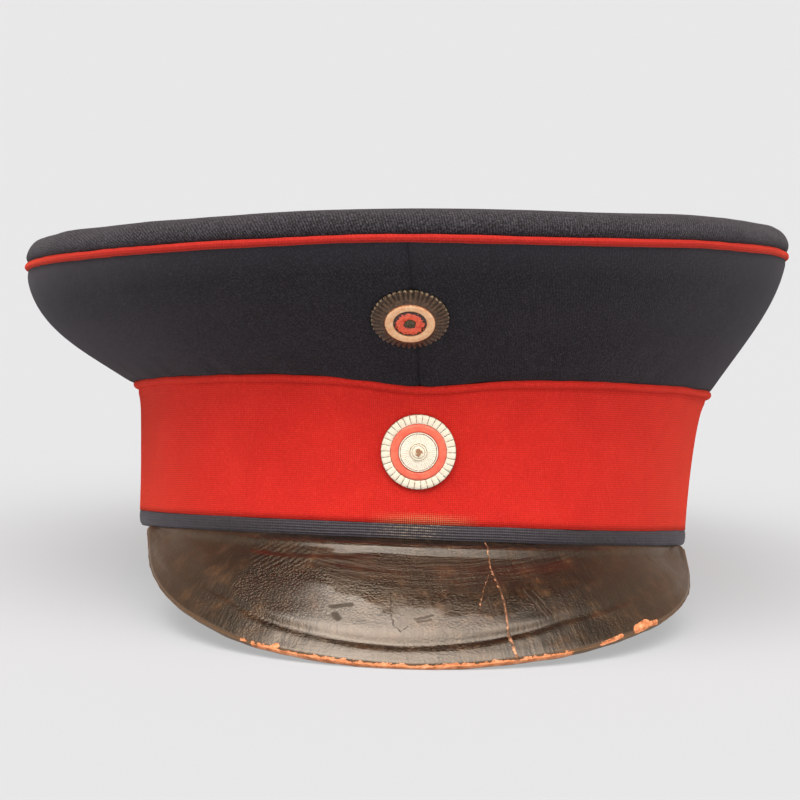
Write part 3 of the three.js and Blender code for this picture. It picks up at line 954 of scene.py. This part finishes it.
def bind_place(angle, out, up):
    """A point of the tape, which lies softly on the hem and follows its unevenness."""
    soft = 0.14 * ripple(angle, up, 12, 51) + 0.08 * ripple(angle, up, 5, 53)
    pressed = soft - PRESSED * right_temple(angle) if out > -1 else 0
    return on_oval(angle, out + pressed, up + block("hem", angle) + 0.1 * ripple(angle, 0, 16, 57))


bm = shell(bind_profile, BIND_COLUMNS, bind_place)
finish_piece("hem_binding_tape", bm, [ribbed_tape], "ribbed_binding", "hem_binding")

# %% [markdown]
# ## Lacquered leather
#
# The peak is thick cowhide, blacked and lacquered by hand. The lacquer is a clear hard coat over dark brown,
# so it mirrors the lights. Fine brush marks run from hem to edge and break the reflections up. Under the
# lacquer the grain stands up as pebbles, more in some places than in others; the real ones are about half a
# millimetre across, too fine to show, so they are drawn 0.7 mm. Where the lacquer has worn thin the brown
# shows, and at the cut edge and in the crack the leather is bare and tan. Each scar is a stroke between two
# places on the leather, given in millimetres along it and in from its cut edge, and a noise frays it.

# %% The scars
# Each is where it starts, where it ends and half its width.
CRACKS = [
    ((20.9, 46.0), (20.1, 33.0), 0.13),
    ((20.1, 33.0), (20.8, 20.0), 0.14),
    ((20.8, 20.0), (20.2, 9.0), 0.14),
    ((20.2, 9.0), (21.0, -0.6), 0.19),
    ((19.7, 32.0), (16.6, 24.5), 0.05),
    ((16.6, 24.5), (14.4, 16.0), 0.07),
]
SCRATCHES = [
    ((-4.4, 24.0), (-4.3, 17.0), 0.06),
    ((-4.3, 17.0), (-3.4, 13.0), 0.08),
    ((-3.4, 13.0), (-1.9, 11.0), 0.08),
    ((-1.9, 11.0), (-0.3, 13.0), 0.06),
    ((1.2, 15.2), (4.6, 16.6), 0.2),
    ((1.6, 14.3), (4.2, 15.0), 0.2),
    ((26.3, 23.0), (29.6, 11.8), 0.2),
    ((28.4, 22.6), (31.0, 13.6), 0.18),
    ((17.2, 22.0), (17.8, 14.5), 0.14),
]
SCUFFS = [
    ((-17.2, 16.9), (-12.8, 18.5), 0.4),
    ((-16.0, 14.6), (-15.2, 13.3), 0.5),
    ((-40.5, 11.4), (-36.5, 10.0), 0.6),
]
CHIPS = [
    ((52.2, 0.7), (56.0, 1.4), 1.3),
    ((56.5, 1.0), (60.0, 0.4), 0.7),
    ((41.0, 0.0), (46.6, 0.5), 0.7),
    ((-34.8, 0.0), (-34.2, 0.2), 0.5),
    ((-27.6, 0.0), (-26.6, 1.3), 0.7),
    ((5.0, 0.0), (9.0, 0.3), 0.5),
]
PEBBLED = [((-33.5, 17.0), (-27.0, 20.5), 5.6)]
CREASES = [((-39.0, 28.0), (-31.0, 32.0), 4.0)]
BARE_EDGE = (-32.5, 33.5)
FACE_END = -1.9  # how far down the cut face the bare leather goes
FRAY = 1.3


# %% Strokes on the leather
def strokes(tree, skin, marks, softness):
    """The strongest of many strokes: 1 within width of each line, fading to 0 at softness times that."""
    strongest = 0.0
    for a, b, width in marks:
        start, whole = Vector((*a, 0)) * MM, Vector((b[0] - a[0], b[1] - a[1], 0)) * MM
        reach = add(tree, "VectorMath", {0: skin, 1: start}, operation="SUBTRACT")
        part = add(tree, "VectorMath", {0: reach, 1: whole / whole.length_squared}, operation="DOT_PRODUCT")
        part = add(tree, "Math", {0: part, 1: 1.0}, operation="MULTIPLY", use_clamp=True)
        foot = add(tree, "VectorMath", {0: whole, "Scale": part}, operation="SCALE")
        away = add(tree, "VectorMath", {0: reach, 1: foot}, operation="DISTANCE")
        limits = {"Value": away, "From Min": width * MM * softness, "From Max": width * MM}
        mask = add(tree, "MapRange", limits, interpolation_type="SMOOTHSTEP")
        strongest = add(tree, "Math", {0: strongest, 1: mask}, operation="MAXIMUM")
    return strongest


# %% The leather's grain
leather, tree = blank("lacquered_cowhide")
place = add(tree, "TexCoord").node.outputs["Object"]
skin = add(tree, "UVMap", uv_map="cloth")
along, inwards, _ = add(tree, "SeparateXYZ", {0: skin}).node.outputs
fray = add(tree, "TexNoise", {"Vector": skin, "Scale": 500, "Detail": 4, "Roughness": 0.7})
swept = add(tree, "VectorMath", {0: fray.node.outputs["Color"], 1: (0.5, 0.5, 0.5)}, operation="SUBTRACT")
frayed = add(tree, "VectorMath", {0: swept, 1: (FRAY * MM,) * 3, 2: skin}, operation="MULTIPLY_ADD")

cells = {"Vector": place, "Scale": 1 / (0.72 * MM), "Smoothness": 0.2}
pebbles = add(tree, "TexVoronoi", cells, feature="SMOOTH_F1")
zones = add(tree, "TexNoise", {"Vector": place, "Scale": 60, "Detail": 2})
limits = {"Value": zones, "From Min": 0.45, "From Max": 0.62, "To Min": 0.12, "To Max": 0.36}
zones = add(tree, "MapRange", limits)
zones = add(tree, "Math", {0: zones, 1: strokes(tree, skin, PEBBLED, 2.0)}, operation="ADD")
pebbles = add(tree, "Math", {0: pebbles, 1: zones}, operation="MULTIPLY")
creases = add(tree, "MapRange", {"Value": pebbles, "From Min": 0.3, "From Max": 0.75})
grain = add(tree, "TexNoise", {"Vector": place, "Scale": 1500, "Detail": 4, "Roughness": 0.6})
lumps = add(tree, "TexNoise", {"Vector": place, "Scale": 160, "Detail": 3})

# %% Brush marks, drips, wrinkles and folds
brushed = add(tree, "Mapping", {"Vector": skin, "Scale": (1, 0.14, 1)})
streaks = add(tree, "TexNoise", {"Vector": brushed, "Scale": 1000, "Detail": 3})
drips = add(tree, "TexNoise", {"Vector": brushed, "Scale": 320, "Detail": 3})
wrinkles = add(tree, "Mapping", {"Vector": skin, "Scale": (0.12, 1, 1)})
wrinkles = add(tree, "TexNoise", {"Vector": wrinkles, "Scale": 600, "Detail": 4, "Roughness": 0.6})
near_hem = add(tree, "MapRange", {"Value": inwards, "From Min": 23 * MM, "From Max": 34 * MM})
wrinkles = add(tree, "Math", {0: wrinkles, 1: near_hem}, operation="MULTIPLY")
below_ridge = add(tree, "MapRange", {"Value": inwards, "From Min": 41 * MM, "From Max": 36 * MM})
valley = add(tree, "Math", {0: near_hem, 1: below_ridge}, operation="MULTIPLY")
limits = {"Value": inwards, "From Min": 14 * MM, "From Max": 7 * MM, "To Max": 0.6}
runs = add(tree, "MapRange", limits)
for start, end in ((-46, -30), (46, 30)):
    side = add(tree, "MapRange", {"Value": along, "From Min": start * MM, "From Max": end * MM})
    runs = add(tree, "Math", {0: runs, 1: side}, operation="MULTIPLY")
drips = add(tree, "Math", {0: drips, 1: runs}, operation="MULTIPLY")
slant = add(tree, "Mapping", {"Vector": frayed, "Rotation": (0, 0, math.radians(35))})
pitch = {"Vector": slant, "Scale": wave_scale(1.5), "Distortion": 2.0}
folds = add(tree, "TexWave", pitch).node.outputs["Fac"]
folds = add(tree, "Math", {0: folds, 1: strokes(tree, skin, CREASES, 1.6)}, operation="MULTIPLY")

# %% Where the leather is cracked, scuffed and bare
cracked = strokes(tree, frayed, CRACKS, 2.4)
scratched = strokes(tree, frayed, SCRATCHES, 2.2)
scuffed = strokes(tree, frayed, SCUFFS, 2.4)
line = {"Value": fray, "From Min": 0.3, "From Max": 0.7, "To Min": -0.4 * MM, "To Max": 1.3 * MM}
bare = add(tree, "Math", {0: inwards, 1: add(tree, "MapRange", line)}, operation="LESS_THAN")
for value, limit, side in ((along, BARE_EDGE[0], "GREATER_THAN"), (along, BARE_EDGE[1], "LESS_THAN")):
    side = add(tree, "Math", {0: value, 1: limit * MM}, operation=side)
    bare = add(tree, "Math", {0: bare, 1: side}, operation="MULTIPLY")
bare = add(tree, "Math", {0: bare, 1: strokes(tree, frayed, CHIPS, 1.15)}, operation="MAXIMUM")
above_foot = add(tree, "Math", {0: inwards, 1: FACE_END * MM}, operation="GREATER_THAN")
bare = add(tree, "Math", {0: bare, 1: above_foot}, operation="MULTIPLY")
# A lighter brown band along the cut edge: worn leather, and painted light on the rounded edge.
rim = add(tree, "MapRange", {"Value": inwards, "From Min": 1.1 * MM, "From Max": 0.2 * MM})

# %% The leather's colours
wear = add(tree, "TexNoise", {"Vector": place, "Scale": 140, "Detail": 5, "Roughness": 0.65})
middle = add(tree, "Math", {0: along}, operation="ABSOLUTE")
# Toward its ends the leather is mixed to a lighter brown: worn lacquer, and painted light on the ends, which
# turn to the side lights.
limits = {"Value": middle, "From Min": 40 * MM, "From Max": 85 * MM, "To Max": 0.6}
ends = add(tree, "MapRange", limits)
browns = [(0.35, "#150f0a"), (0.52, "#231911"), (0.66, "#3f2c1c"), (0.85, "#6f4f36")]
lacquer = add(tree, "ValToRGB", {"Fac": wear}, browns)
hide = add(tree, "ValToRGB", {"Fac": fray}, [(0.3, "#8a4f30"), (0.5, "#d08358"), (0.7, "#f0ad84")])
split = add(tree, "ValToRGB", {"Fac": fray}, [(0.36, "#2d1d14"), (0.5, "#86593f"), (0.64, "#cf9a78")])
broken = add(tree, "MapRange", {"Value": fray, "From Min": 0.42, "From Max": 0.58, "To Min": 0.45})
skin_colour = lacquer
for mask, broken_by, tone in (
    (ends, 1.0, colour("#553f2e")),
    (rim, 0.45, colour("#87674a")),
    (scuffed, 0.7, colour("#150f0b")),
    (scratched, 1.0, colour("#1a120d")),
    (cracked, broken, split),
    (bare, 1.0, hide),
):
    mask = add(tree, "Math", {0: mask, 1: broken_by}, operation="MULTIPLY")
    skin_colour = add(tree, "Mix", {0: mask, 6: skin_colour, 7: tone}, data_type="RGBA")

# %% The leather's fine relief
height = 0.0
for part, strength in (
    (pebbles, -2.4),
    (grain, 0.8),
    (lumps, 1.2),
    (wrinkles, 5.0),
    (drips, 7.0),
    (streaks, 1.7),
    (folds, 0.8),
    (cracked, -1.6),
    (scratched, -0.9),
    (bare, -0.8),
):
    height = add(tree, "Math", {0: part, 1: strength, 2: height}, operation="MULTIPLY_ADD")

# %% The leather's gloss
dull = bare
flanks = add(tree, "MapRange", {"Value": middle, "From Min": 26 * MM, "From Max": 50 * MM})
for part, strength in (
    (cracked, 0.8),
    (scratched, 0.6),
    (scuffed, 0.8),
    (rim, 0.8),
    (creases, 0.45),
    (valley, 0.5),
    (flanks, 0.5),
):
    part = add(tree, "Math", {0: part, 1: strength}, operation="MULTIPLY")
    dull = add(tree, "Math", {0: dull, 1: part}, operation="MAXIMUM")
limits = {"Value": lumps, "From Min": 0.35, "From Max": 0.65, "To Min": 0.17, "To Max": 0.28}
gloss = add(tree, "MapRange", limits)
surface = {
    "Base Color": skin_colour,
    "Roughness": add(tree, "Math", {0: dull, 1: 0.45, 2: gloss}, operation="MULTIPLY_ADD"),
    "IOR": 1.5,
    "Specular Tint": colour("#ffead4"),
    "Coat Weight": add(tree, "MapRange", {"Value": dull, "To Min": 0.65, "To Max": 0}),
    "Coat Roughness": 0.07,
    "Normal": add(tree, "Bump", {"Height": height, "Strength": 0.65, "Distance": 0.22 * MM}),
}
add(tree, "OutputMaterial", {"Surface": add(tree, "BsdfPrincipled", surface)})

# %% [markdown]
# ## The peak
#
# The peak comes out flat from under the hem, turns over a shoulder, hollows a little and then bellies down
# to its edge. A groove pressed seven millimetres in from the edge leaves a border that looks like a welt.
# The section is laid along the hem from end to end, with the leather's thickness and its cut face. Its table
# gives shares of the reach and of the drop, and rows are spaced by the length of leather between them. Wear
# has swollen and creased the leather on the wearer's right. The cracks are hair-thin and left to the finish.

# %% The peak's section
SHEET_COLUMNS, TOP_ROWS = 460, 110
SHAPED_SECTION = [
    (0.0, 0.0),
    (0.11, 0.006),
    (0.175, 0.034),
    (0.236, 0.132),
    (0.4, 0.287),
    (0.6, 0.478),
    (0.775, 0.681),
    (0.86, 0.81),
    (1.0, 1.0),
]
SECTION_ENDS = len(SHAPED_SECTION) - 1
LENGTH_STEPS = 64


def section_at(angle, t):
    """A point of the leather's top surface, t counting the section's rows, as (out from the hem, up)."""
    reach, drop = peak_edge("reach", angle) - PEAK_ROOT, peak_edge("drop", angle)
    k = min(int(t), SECTION_ENDS - 1)
    steps = (k - 1, k, k + 1, k + 2)
    near = [SHAPED_SECTION[min(max(step, 0), SECTION_ENDS)] for step in steps]
    run, fall = (hermite(*[(a, b[c]) for a, b in zip(steps, near)], t) for c in (0, 1))
    return Vector((reach * run, -drop * fall))


@lru_cache(maxsize=None)
def run_lengths(angle):
    """Length of leather from the root to each of many even steps of the section, in millimetres."""
    points = [section_at(angle, SECTION_ENDS * k / LENGTH_STEPS) for k in range(LENGTH_STEPS + 1)]
    lengths = [0.0]
    for a, b in zip(points, points[1:]):
        lengths.append(lengths[-1] + (b - a).length)
    return lengths


@lru_cache(maxsize=None)
def peak_point(angle, share):
    """The leather's top at a share of its length, and the direction that it runs in."""
    lengths = run_lengths(angle)
    wanted = share * lengths[-1]
    k = min(max(bisect(lengths, wanted) - 1, 0), LENGTH_STEPS - 1)
    part = (wanted - lengths[k]) / (lengths[k + 1] - lengths[k])
    t = (k + part) / LENGTH_STEPS * SECTION_ENDS
    ahead = section_at(angle, min(t + 0.03, SECTION_ENDS))
    behind = section_at(angle, max(t - 0.03, 0))
    return section_at(angle, t), (ahead - behind).normalized()


def on_peak(angle, share, depth, beyond=0):
    """A place in the leather: share of the way out, depth below its top, and how far beyond the edge."""
    point, run = peak_point(angle, share)
    out = PEAK_ROOT + point.x + run.x * beyond + run.y * depth
    return on_oval(angle, out, block("hem", angle) - GAP + point.y + run.y * beyond - run.x * depth)


def fade(value, start, end):
    """1 before start, 0 beyond end, smooth between."""
    t = min(max((value - start) / (end - start), 0), 1)
    return 1 - t * t * (3 - 2 * t)


# %% The peak's groove, swelling, crease and waves
GROOVE_IN, GROOVE_DEEP, GROOVE_WIDE = 6.9, 0.52, 1.6
GROOVE_MIDDLE, GROOVE_SWEEP = -5, 0.0026  # away from its middle the groove swings in from the edge
WORN = (-21, 9)  # the places are millimetres along the leather, each with how far it reaches
SWOLLEN, SWOLLEN_IN = (-24, 19), (29, 8)
CREASED, CREASE_IN, CREASE_SLANT = (-27, 15), 34.6, 0.28


def relief(angle, share):
    """How deep the top lies below its plain section: pressed, worn, swollen, creased and uneven."""
    along = round_head(angle)
    from_edge = (1 - share) * run_lengths(angle)[-1]
    from_hem = PEAK_ROOT + peak_point(angle, share)[0].x
    middle = fade(abs(angle - 3), 26, 52)

    groove_in = GROOVE_IN + GROOVE_SWEEP * min(abs(along - GROOVE_MIDDLE), 38) ** 2
    deep = GROOVE_DEEP * (0.3 + 0.7 * middle) * (1 - 0.5 * hill(along, *WORN))
    groove = deep * hill(from_edge, groove_in, GROOVE_WIDE * (2 - middle))
    swelling = 1.1 * hill(along, *SWOLLEN) * hill(from_edge, *SWOLLEN_IN)

    past_crease = from_edge - CREASE_IN - CREASE_SLANT * (along + 25)
    here = math.exp(-(((along - CREASED[0]) / CREASED[1]) ** 4))
    crease = 0.3 * here * (hill(past_crease, 0, 1) - hill(past_crease, -2.2, 1.1))

    tucked = 0.75 * fade(from_hem, -0.8, 2.0)
    drawn_up = 0.45 * (1 - middle) * hill(from_hem, 0.9, 1.1)
    rounded = 0.5 * max(0, 1 - from_edge / 1.2) ** 2
    waves = 0.22 * ripple(angle, share * 40, 16, 61) + 0.05 * ripple(angle, share * 40, 5, 63)
    waves *= min(1, share * 4) * min(1, from_edge / 3)
    return groove + crease + waves + rounded - swelling - drawn_up - tucked


# %% The peak's leather
peak_rows = [(k / TOP_ROWS, 0) for k in range(TOP_ROWS + 1)]
peak_rows += [(1, PEAK_THICK * t) for t in (0.12, 0.4, 0.7, 0.92)]
peak_rows += [(share, PEAK_THICK) for share in (0.995, 0.9, 0.8, 0.7, 0.6, 0.5, 0.4, 0.3, 0.2, 0.1, 0.0)]
FIRST, LAST = PEAK_EDGE[0][0], PEAK_EDGE[-1][0]


def peak_angle(i):
    """The angle of a column, from the peak's right end to its left."""
    return FIRST + (LAST - FIRST) * i / SHEET_COLUMNS


def peak_place(i, j):
    """A point of the top, of the cut face, which bulges a little, or of the underside."""
    angle = peak_angle(i)
    share, depth = peak_rows[j % len(peak_rows)]
    if depth == 0:
        return on_peak(angle, share, relief(angle, share), -0.22 if share == 1 else 0)
    if share == 1:
        bulge = 0.18 * math.sin(math.pi * depth / PEAK_THICK) + 0.12 * ripple(angle, depth * 3, 4, 71)
        return on_peak(angle, 1, depth, bulge)
    return on_peak(angle, share, depth)


def peak_weave(i, j):
    """Along the leather, and in from its cut edge; below the edge's corner the distance is negative."""
    angle = peak_angle(i)
    share, depth = peak_rows[j] if j < len(peak_rows) else (0, PEAK_THICK)
    across = (1 - share) * run_lengths(angle)[-1]
    return round_head(angle), across if depth == 0 else -depth - across


bm = sheet(SHEET_COLUMNS, len(peak_rows), peak_place, peak_weave)
weld(bm)
finish_piece("leather_peak", bm, [leather], "lacquered_leather", "peak")

# %% [markdown]
# ## The cockades' metal and enamel
#
# The upper cockade is a blacked fluted ring, a cream ring and a red one on a dark rivet. The lower is
# silvered brass: a flat ring with pressed radial grooves, a coral red enamel ring, a finely fluted disc and
# a ringed boss. All are stamped from thin sheet. Enamel is glossy and slightly uneven in colour; the
# silvering has yellowed, and its grooves are drawn as thin dark lines.

# %% Painted, blacked and silvered finishes
PLEATS, RIBS, FLUTES = 42, 34, 48
NOISE_SPREAD = 5  # a noise seldom strays far from a half, so it is spread before it frays an edge


def stamped(name, low, high, metallic, roughness, grain, coat=0.0, marks=()):
    """
    Thin stamped metal with a mottled finish from low to high, and fine unevenness grain mm across. Each mark
    is a colour with where it starts and ends, in mm from the centre, how ragged its edges are, and, for
    radial lines, how many and how much of the way round they take up.
    """
    material, tree = blank(name)
    place = add(tree, "TexCoord").node.outputs["Object"]
    face = add(tree, "UVMap", uv_map="face")
    x, y, _ = add(tree, "SeparateXYZ", {0: face}).node.outputs
    out = add(tree, "VectorMath", {0: face}, operation="LENGTH")
    turn = add(tree, "Math", {0: y, 1: x}, operation="ARCTAN2")
    uneven = {"Vector": place, "Scale": 1 / (grain * MM), "Detail": 4, "Roughness": 0.65}
    mottle = add(tree, "TexNoise", uneven)
    speckle = add(tree, "TexNoise", {"Vector": place, "Scale": 1700, "Detail": 3})
    limits = {"Value": speckle, "From Min": 0.35, "From Max": 0.55, "To Min": 0.25, "To Max": 0.9}
    patchy = add(tree, "MapRange", limits)
    tone = add(tree, "ValToRGB", {"Fac": mottle}, [(0.32, low), (0.62, high)])
    for code, start, end, ragged, count, thick in marks:
        shift = add(tree, "Math", {0: speckle, 1: 0.5}, operation="SUBTRACT")
        reach = add(tree, "Math", {0: shift, 1: NOISE_SPREAD * ragged * MM, 2: out}, operation="MULTIPLY_ADD")
        mask = add(tree, "Math", {0: reach, 1: start * MM}, operation="GREATER_THAN")
        inside = add(tree, "Math", {0: reach, 1: end * MM}, operation="LESS_THAN")
        mask = add(tree, "Math", {0: mask, 1: inside}, operation="MULTIPLY")
        if count:
            rays = add(tree, "Math", {0: turn, 1: count / 2 / math.pi, 2: 0.5}, operation="MULTIPLY_ADD")
            rays = add(tree, "Math", {0: rays}, operation="FRACT")
            rays = add(tree, "Math", {0: rays, 1: 0.5, 2: thick / 2}, operation="COMPARE")
            for part in (rays, patchy):
                mask = add(tree, "Math", {0: mask, 1: part}, operation="MULTIPLY")
        tone = add(tree, "Mix", {0: mask, 6: tone, 7: colour(code)}, data_type="RGBA")
    limits = {"Value": mottle, "To Min": roughness + 0.12, "To Max": roughness - 0.08}
    surface = {
        "Base Color": tone,
        "Metallic": metallic,
        "Roughness": add(tree, "MapRange", limits),
        "Coat Weight": coat,
        "Coat Roughness": 0.15,
        "Normal": add(tree, "Bump", {"Height": mottle, "Strength": 0.25, "Distance": 0.08 * MM}),
    }
    add(tree, "OutputMaterial", {"Surface": add(tree, "BsdfPrincipled", surface)})
    return material


# %% The cockades' finishes
# On the blacked ring: a pale band at the scalloped rim is a painted highlight on the pleat tips, and dark
# radial lines are painted shade in the pleats' folds.
pleat_highlight_and_shade_marks = [("#9a886e", 10.6, 12, 0.5, 0, 0), ("#251a12", 8.3, 12, 0.2, PLEATS, 0.36)]
# An orange-brown band at the cream ring's outer edge: painted shade on its side wall.
cream_wall_shade_marks = [("#b06d40", 6.8, 9, 0.1, 0, 0)]
red_marks = [("#33180e", 3.85, 6, 0.7, 0, 0), ("#33180e", 0, 1.6, 0.3, 0, 0)]
rib_marks = [
    ("#5d5446", 8.2, 10.5, 0.25, RIBS, 0.13),
    ("#8a6a4c", 7.4, 7.95, 0.08, 0, 0),
    ("#54483a", 10.42, 12, 0.06, 0, 0),
]
flute_marks = [("#b8a78d", 2.9, 4.9, 0.5, FLUTES, 0.2), ("#8d6c49", 5.0, 5.22, 0.07, 0, 0)]
boss_marks = [
    ("#7d6a50", 2.3, 2.45, 0.09, 0, 0),
    ("#8f7c60", 1.72, 1.86, 0.09, 0, 0),
    ("#a87f5e", 0, 0.95, 0.4, 0, 0),
]
blacked = stamped("blacked_brass", "#2d1d14", "#644a34", 0.3, 0.48, 0.9, 0.2, pleat_highlight_and_shade_marks)
cream = stamped("cream_enamel", "#f2ae7c", "#ffd2a4", 0.0, 0.38, 1.4, 0.3, cream_wall_shade_marks)
red = stamped("red_enamel", "#e0412a", "#ff7350", 0.0, 0.35, 1.0, 0.3, red_marks)
coral = stamped("coral_enamel", "#f0604a", "#fb7a5e", 0.0, 0.4, 2.0, 0.3)
silvered = stamped("silvered_brass_ribbed", "#efe4cd", "#fdf6e6", 0.1, 0.42, 0.8, 0.0, rib_marks)
white = stamped("silvered_brass_fluted", "#f4ecd9", "#fffaf0", 0.1, 0.4, 0.7, 0.0, flute_marks)
boss_white = stamped("silvered_brass_boss", "#f0e6d0", "#fdf5e4", 0.1, 0.4, 0.7, 0.0, boss_marks)
tarnish = stamped("tarnished_brass", "#2b2720", "#6b6048", 0.5, 0.5, 0.5)

# %% [markdown]
# ## The cockades
#
# Each ring is a small profile spun round its axis. Pleats, ribs and flutes are pressed by lowering points of
# the spun ring, so they are real grooves. The upper cockade's outer ring is a pleated cone that rises to
# the enamelled rings; the lower's is flat. A stack is made lying flat, face up, and then laid on the cloth,
# facing along the cloth's normal.

# %% Where the cockades sit
UPPER_SIDE, UPPER_SHARE = -2.25, 0.49
LOWER_SIDE, LOWER_UP = 1.1, 25.5
STAND_OFF = 0.35
FINE_WELD = 0.002


def cockade_frame(centre, facing):
    """Where a stack of rings goes: on the cloth at centre, turned to face along its normal."""
    turned = Vector((0, 0, 1)).rotation_difference(facing).to_matrix().to_4x4()
    return Matrix.Translation(centre + facing * STAND_OFF) @ turned


centre = on_side(0, UPPER_SHARE, 0)
along = on_side(0, UPPER_SHARE + 0.1, 0) - on_side(0, UPPER_SHARE - 0.1, 0)
UPPER = cockade_frame(Vector((UPPER_SIDE, centre.y, centre.z)), Vector((1, 0, 0)).cross(along).normalized())
rise = block("seat", 0) - BAND_FOOT
centre = on_oval(0, flare_at(0, (LOWER_UP - BAND_FOOT) / rise), LOWER_UP)
LOWER = cockade_frame(
    Vector((LOWER_SIDE, centre.y, centre.z)), Vector((0, -1, -block("flare", 0) / rise)).normalized()
)


def ring(name, stack, profile, material, slot, node, steps=72, pressed=None):
    """
    A profile of (radius, height) spun round its axis and stood on its stack. pressed(turns, radius, height)
    gives a point's new radius and height.
    """
    bm = bmesh.new()
    points = [bm.verts.new((r, 0, up)) for r, up in profile]
    edges = [bm.edges.new(pair) for pair in zip(points, points[1:])]
    if profile[0][0] > 0:
        edges.append(bm.edges.new((points[-1], points[0])))
    bmesh.ops.spin(
        bm,
        geom=[*points, *edges],
        axis=(0, 0, 1),
        cent=(0, 0, 0),
        angle=2 * math.pi,
        steps=steps,
        use_merge=True,
    )
    weld(bm, FINE_WELD)
    layer = bm.loops.layers.uv.new("face")
    for face in bm.faces:
        for loop in face.loops:
            loop[layer].uv = loop.vert.co.xy * MM
    if pressed:
        for vert in bm.verts:
            out = vert.co.xy.length
            moved, up = pressed(math.atan2(vert.co.y, vert.co.x) / 2 / math.pi, out, vert.co.z)
            vert.co = (*(vert.co.xy * (moved / max(out, 1e-9))), up)
    bm.transform(stack)
    return finish_piece(name, bm, [material], slot, node)


# %% The upper cockade
def pleated(turns, out, up):
    """Pleats with sharp valleys that deepen outwards and scallop the rim."""
    valley = 1 - abs(math.sin(math.pi * PLEATS * turns))
    outwards = min(max((out - 7.4) / 1.6, 0), 1)
    return out - (0.5 * valley if out > 10.2 else 0), up - (0.75 * valley * outwards if up > 0.2 else 0)


ring(
    "crown_cockade_pleated",
    UPPER,
    [
        (6.6, 0.0),
        (10.6, -0.1),
        (10.8, 0.3),
        (10.6, 0.75),
        (10.2, 0.95),
        (9.6, 1.15),
        (9.0, 1.35),
        (8.5, 1.55),
        (7.8, 1.75),
        (7.0, 2.0),
        (6.6, 2.0),
    ],
    blacked,
    "blacked_metal",
    "crown_cockade_fluted_ring",
    PLEATS * 6,
    pleated,
)
ring(
    "crown_cockade_cream",
    UPPER,
    [
        (4.6, 1.2),
        (6.7, 1.2),
        (6.95, 1.5),
        (6.95, 2.1),
        (6.75, 2.35),
        (6.3, 2.45),
        (5.2, 2.45),
        (4.8, 2.35),
        (4.6, 2.1),
    ],
    cream,
    "cream_enamel",
    "crown_cockade_cream_ring",
)
ring(
    "crown_cockade_red",
    UPPER,
    [
        (1.2, 1.2),
        (4.5, 1.2),
        (4.62, 1.6),
        (4.6, 2.1),
        (4.3, 2.3),
        (3.4, 2.4),
        (2.2, 2.4),
        (1.4, 2.3),
        (1.2, 2.0),
    ],
    red,
    "red_enamel",
    "crown_cockade_red_ring",
)
ring(
    "crown_cockade_rivet_head",
    UPPER,
    [(0, 1.6), (1.4, 1.6), (1.5, 2.3), (1.35, 2.55), (0.9, 2.7), (0.4, 2.75), (0, 2.75)],
    tarnish,
    "tarnished_metal",
    "crown_cockade_rivet",
)


# %% The lower cockade
def grooved(turns, out, up):
    """Narrow pressed grooves between flat ribs."""
    groove = max(0, 1 - 7 * abs((turns * RIBS + 0.5) % 1 - 0.5))
    return out, up - (0.35 * groove if up > 0.3 and 8.0 < out < 10.5 else 0)


def fine_fluted(turns, out, up):
    """Fine shallow flutes of the inner disc."""
    flute = 0.5 + 0.5 * math.cos(2 * math.pi * FLUTES * turns)
    return out, up - (0.12 * flute if up > 1.2 and 2.9 < out < 5 else 0)


ring(
    "band_cockade_grooved",
    LOWER,
    [
        (7.6, 0.0),
        (10.4, 0.0),
        (10.55, 0.35),
        (10.45, 0.8),
        (10.2, 1.05),
        (9.6, 1.22),
        (8.7, 1.28),
        (8.15, 1.25),
        (7.9, 1.1),
        (7.6, 0.8),
    ],
    silvered,
    "silvered_metal",
    "band_cockade_fluted_ring",
    RIBS * 10,
    grooved,
)
ring(
    "band_cockade_coral",
    LOWER,
    [
        (5.6, 0.3),
        (7.7, 0.3),
        (7.85, 0.9),
        (7.8, 1.3),
        (7.6, 1.5),
        (6.9, 1.65),
        (6.1, 1.65),
        (5.75, 1.5),
        (5.6, 1.2),
    ],
    coral,
    "red_enamel",
    "band_cockade_red_ring",
)
ring(
    "band_cockade_disc_fluted",
    LOWER,
    [
        (2.4, 0.6),
        (5.35, 0.6),
        (5.5, 1.0),
        (5.5, 1.8),
        (5.38, 1.95),
        (5.2, 1.92),
        (5.08, 1.75),
        (4.9, 1.85),
        (4.4, 1.9),
        (3.6, 2.0),
        (2.9, 2.05),
        (2.4, 1.9),
    ],
    white,
    "silvered_metal",
    "band_cockade_disc",
    FLUTES * 6,
    fine_fluted,
)
ring(
    "band_cockade_boss_ringed",
    LOWER,
    [
        (0, 1.5),
        (2.6, 1.5),
        (2.75, 2.0),
        (2.7, 2.2),
        (2.5, 2.3),
        (2.36, 2.12),
        (2.2, 2.35),
        (1.95, 2.42),
        (1.79, 2.25),
        (1.6, 2.5),
        (1.1, 2.65),
        (0.6, 2.7),
        (0, 2.7),
    ],
    boss_white,
    "silvered_metal",
    "band_cockade_boss",
)
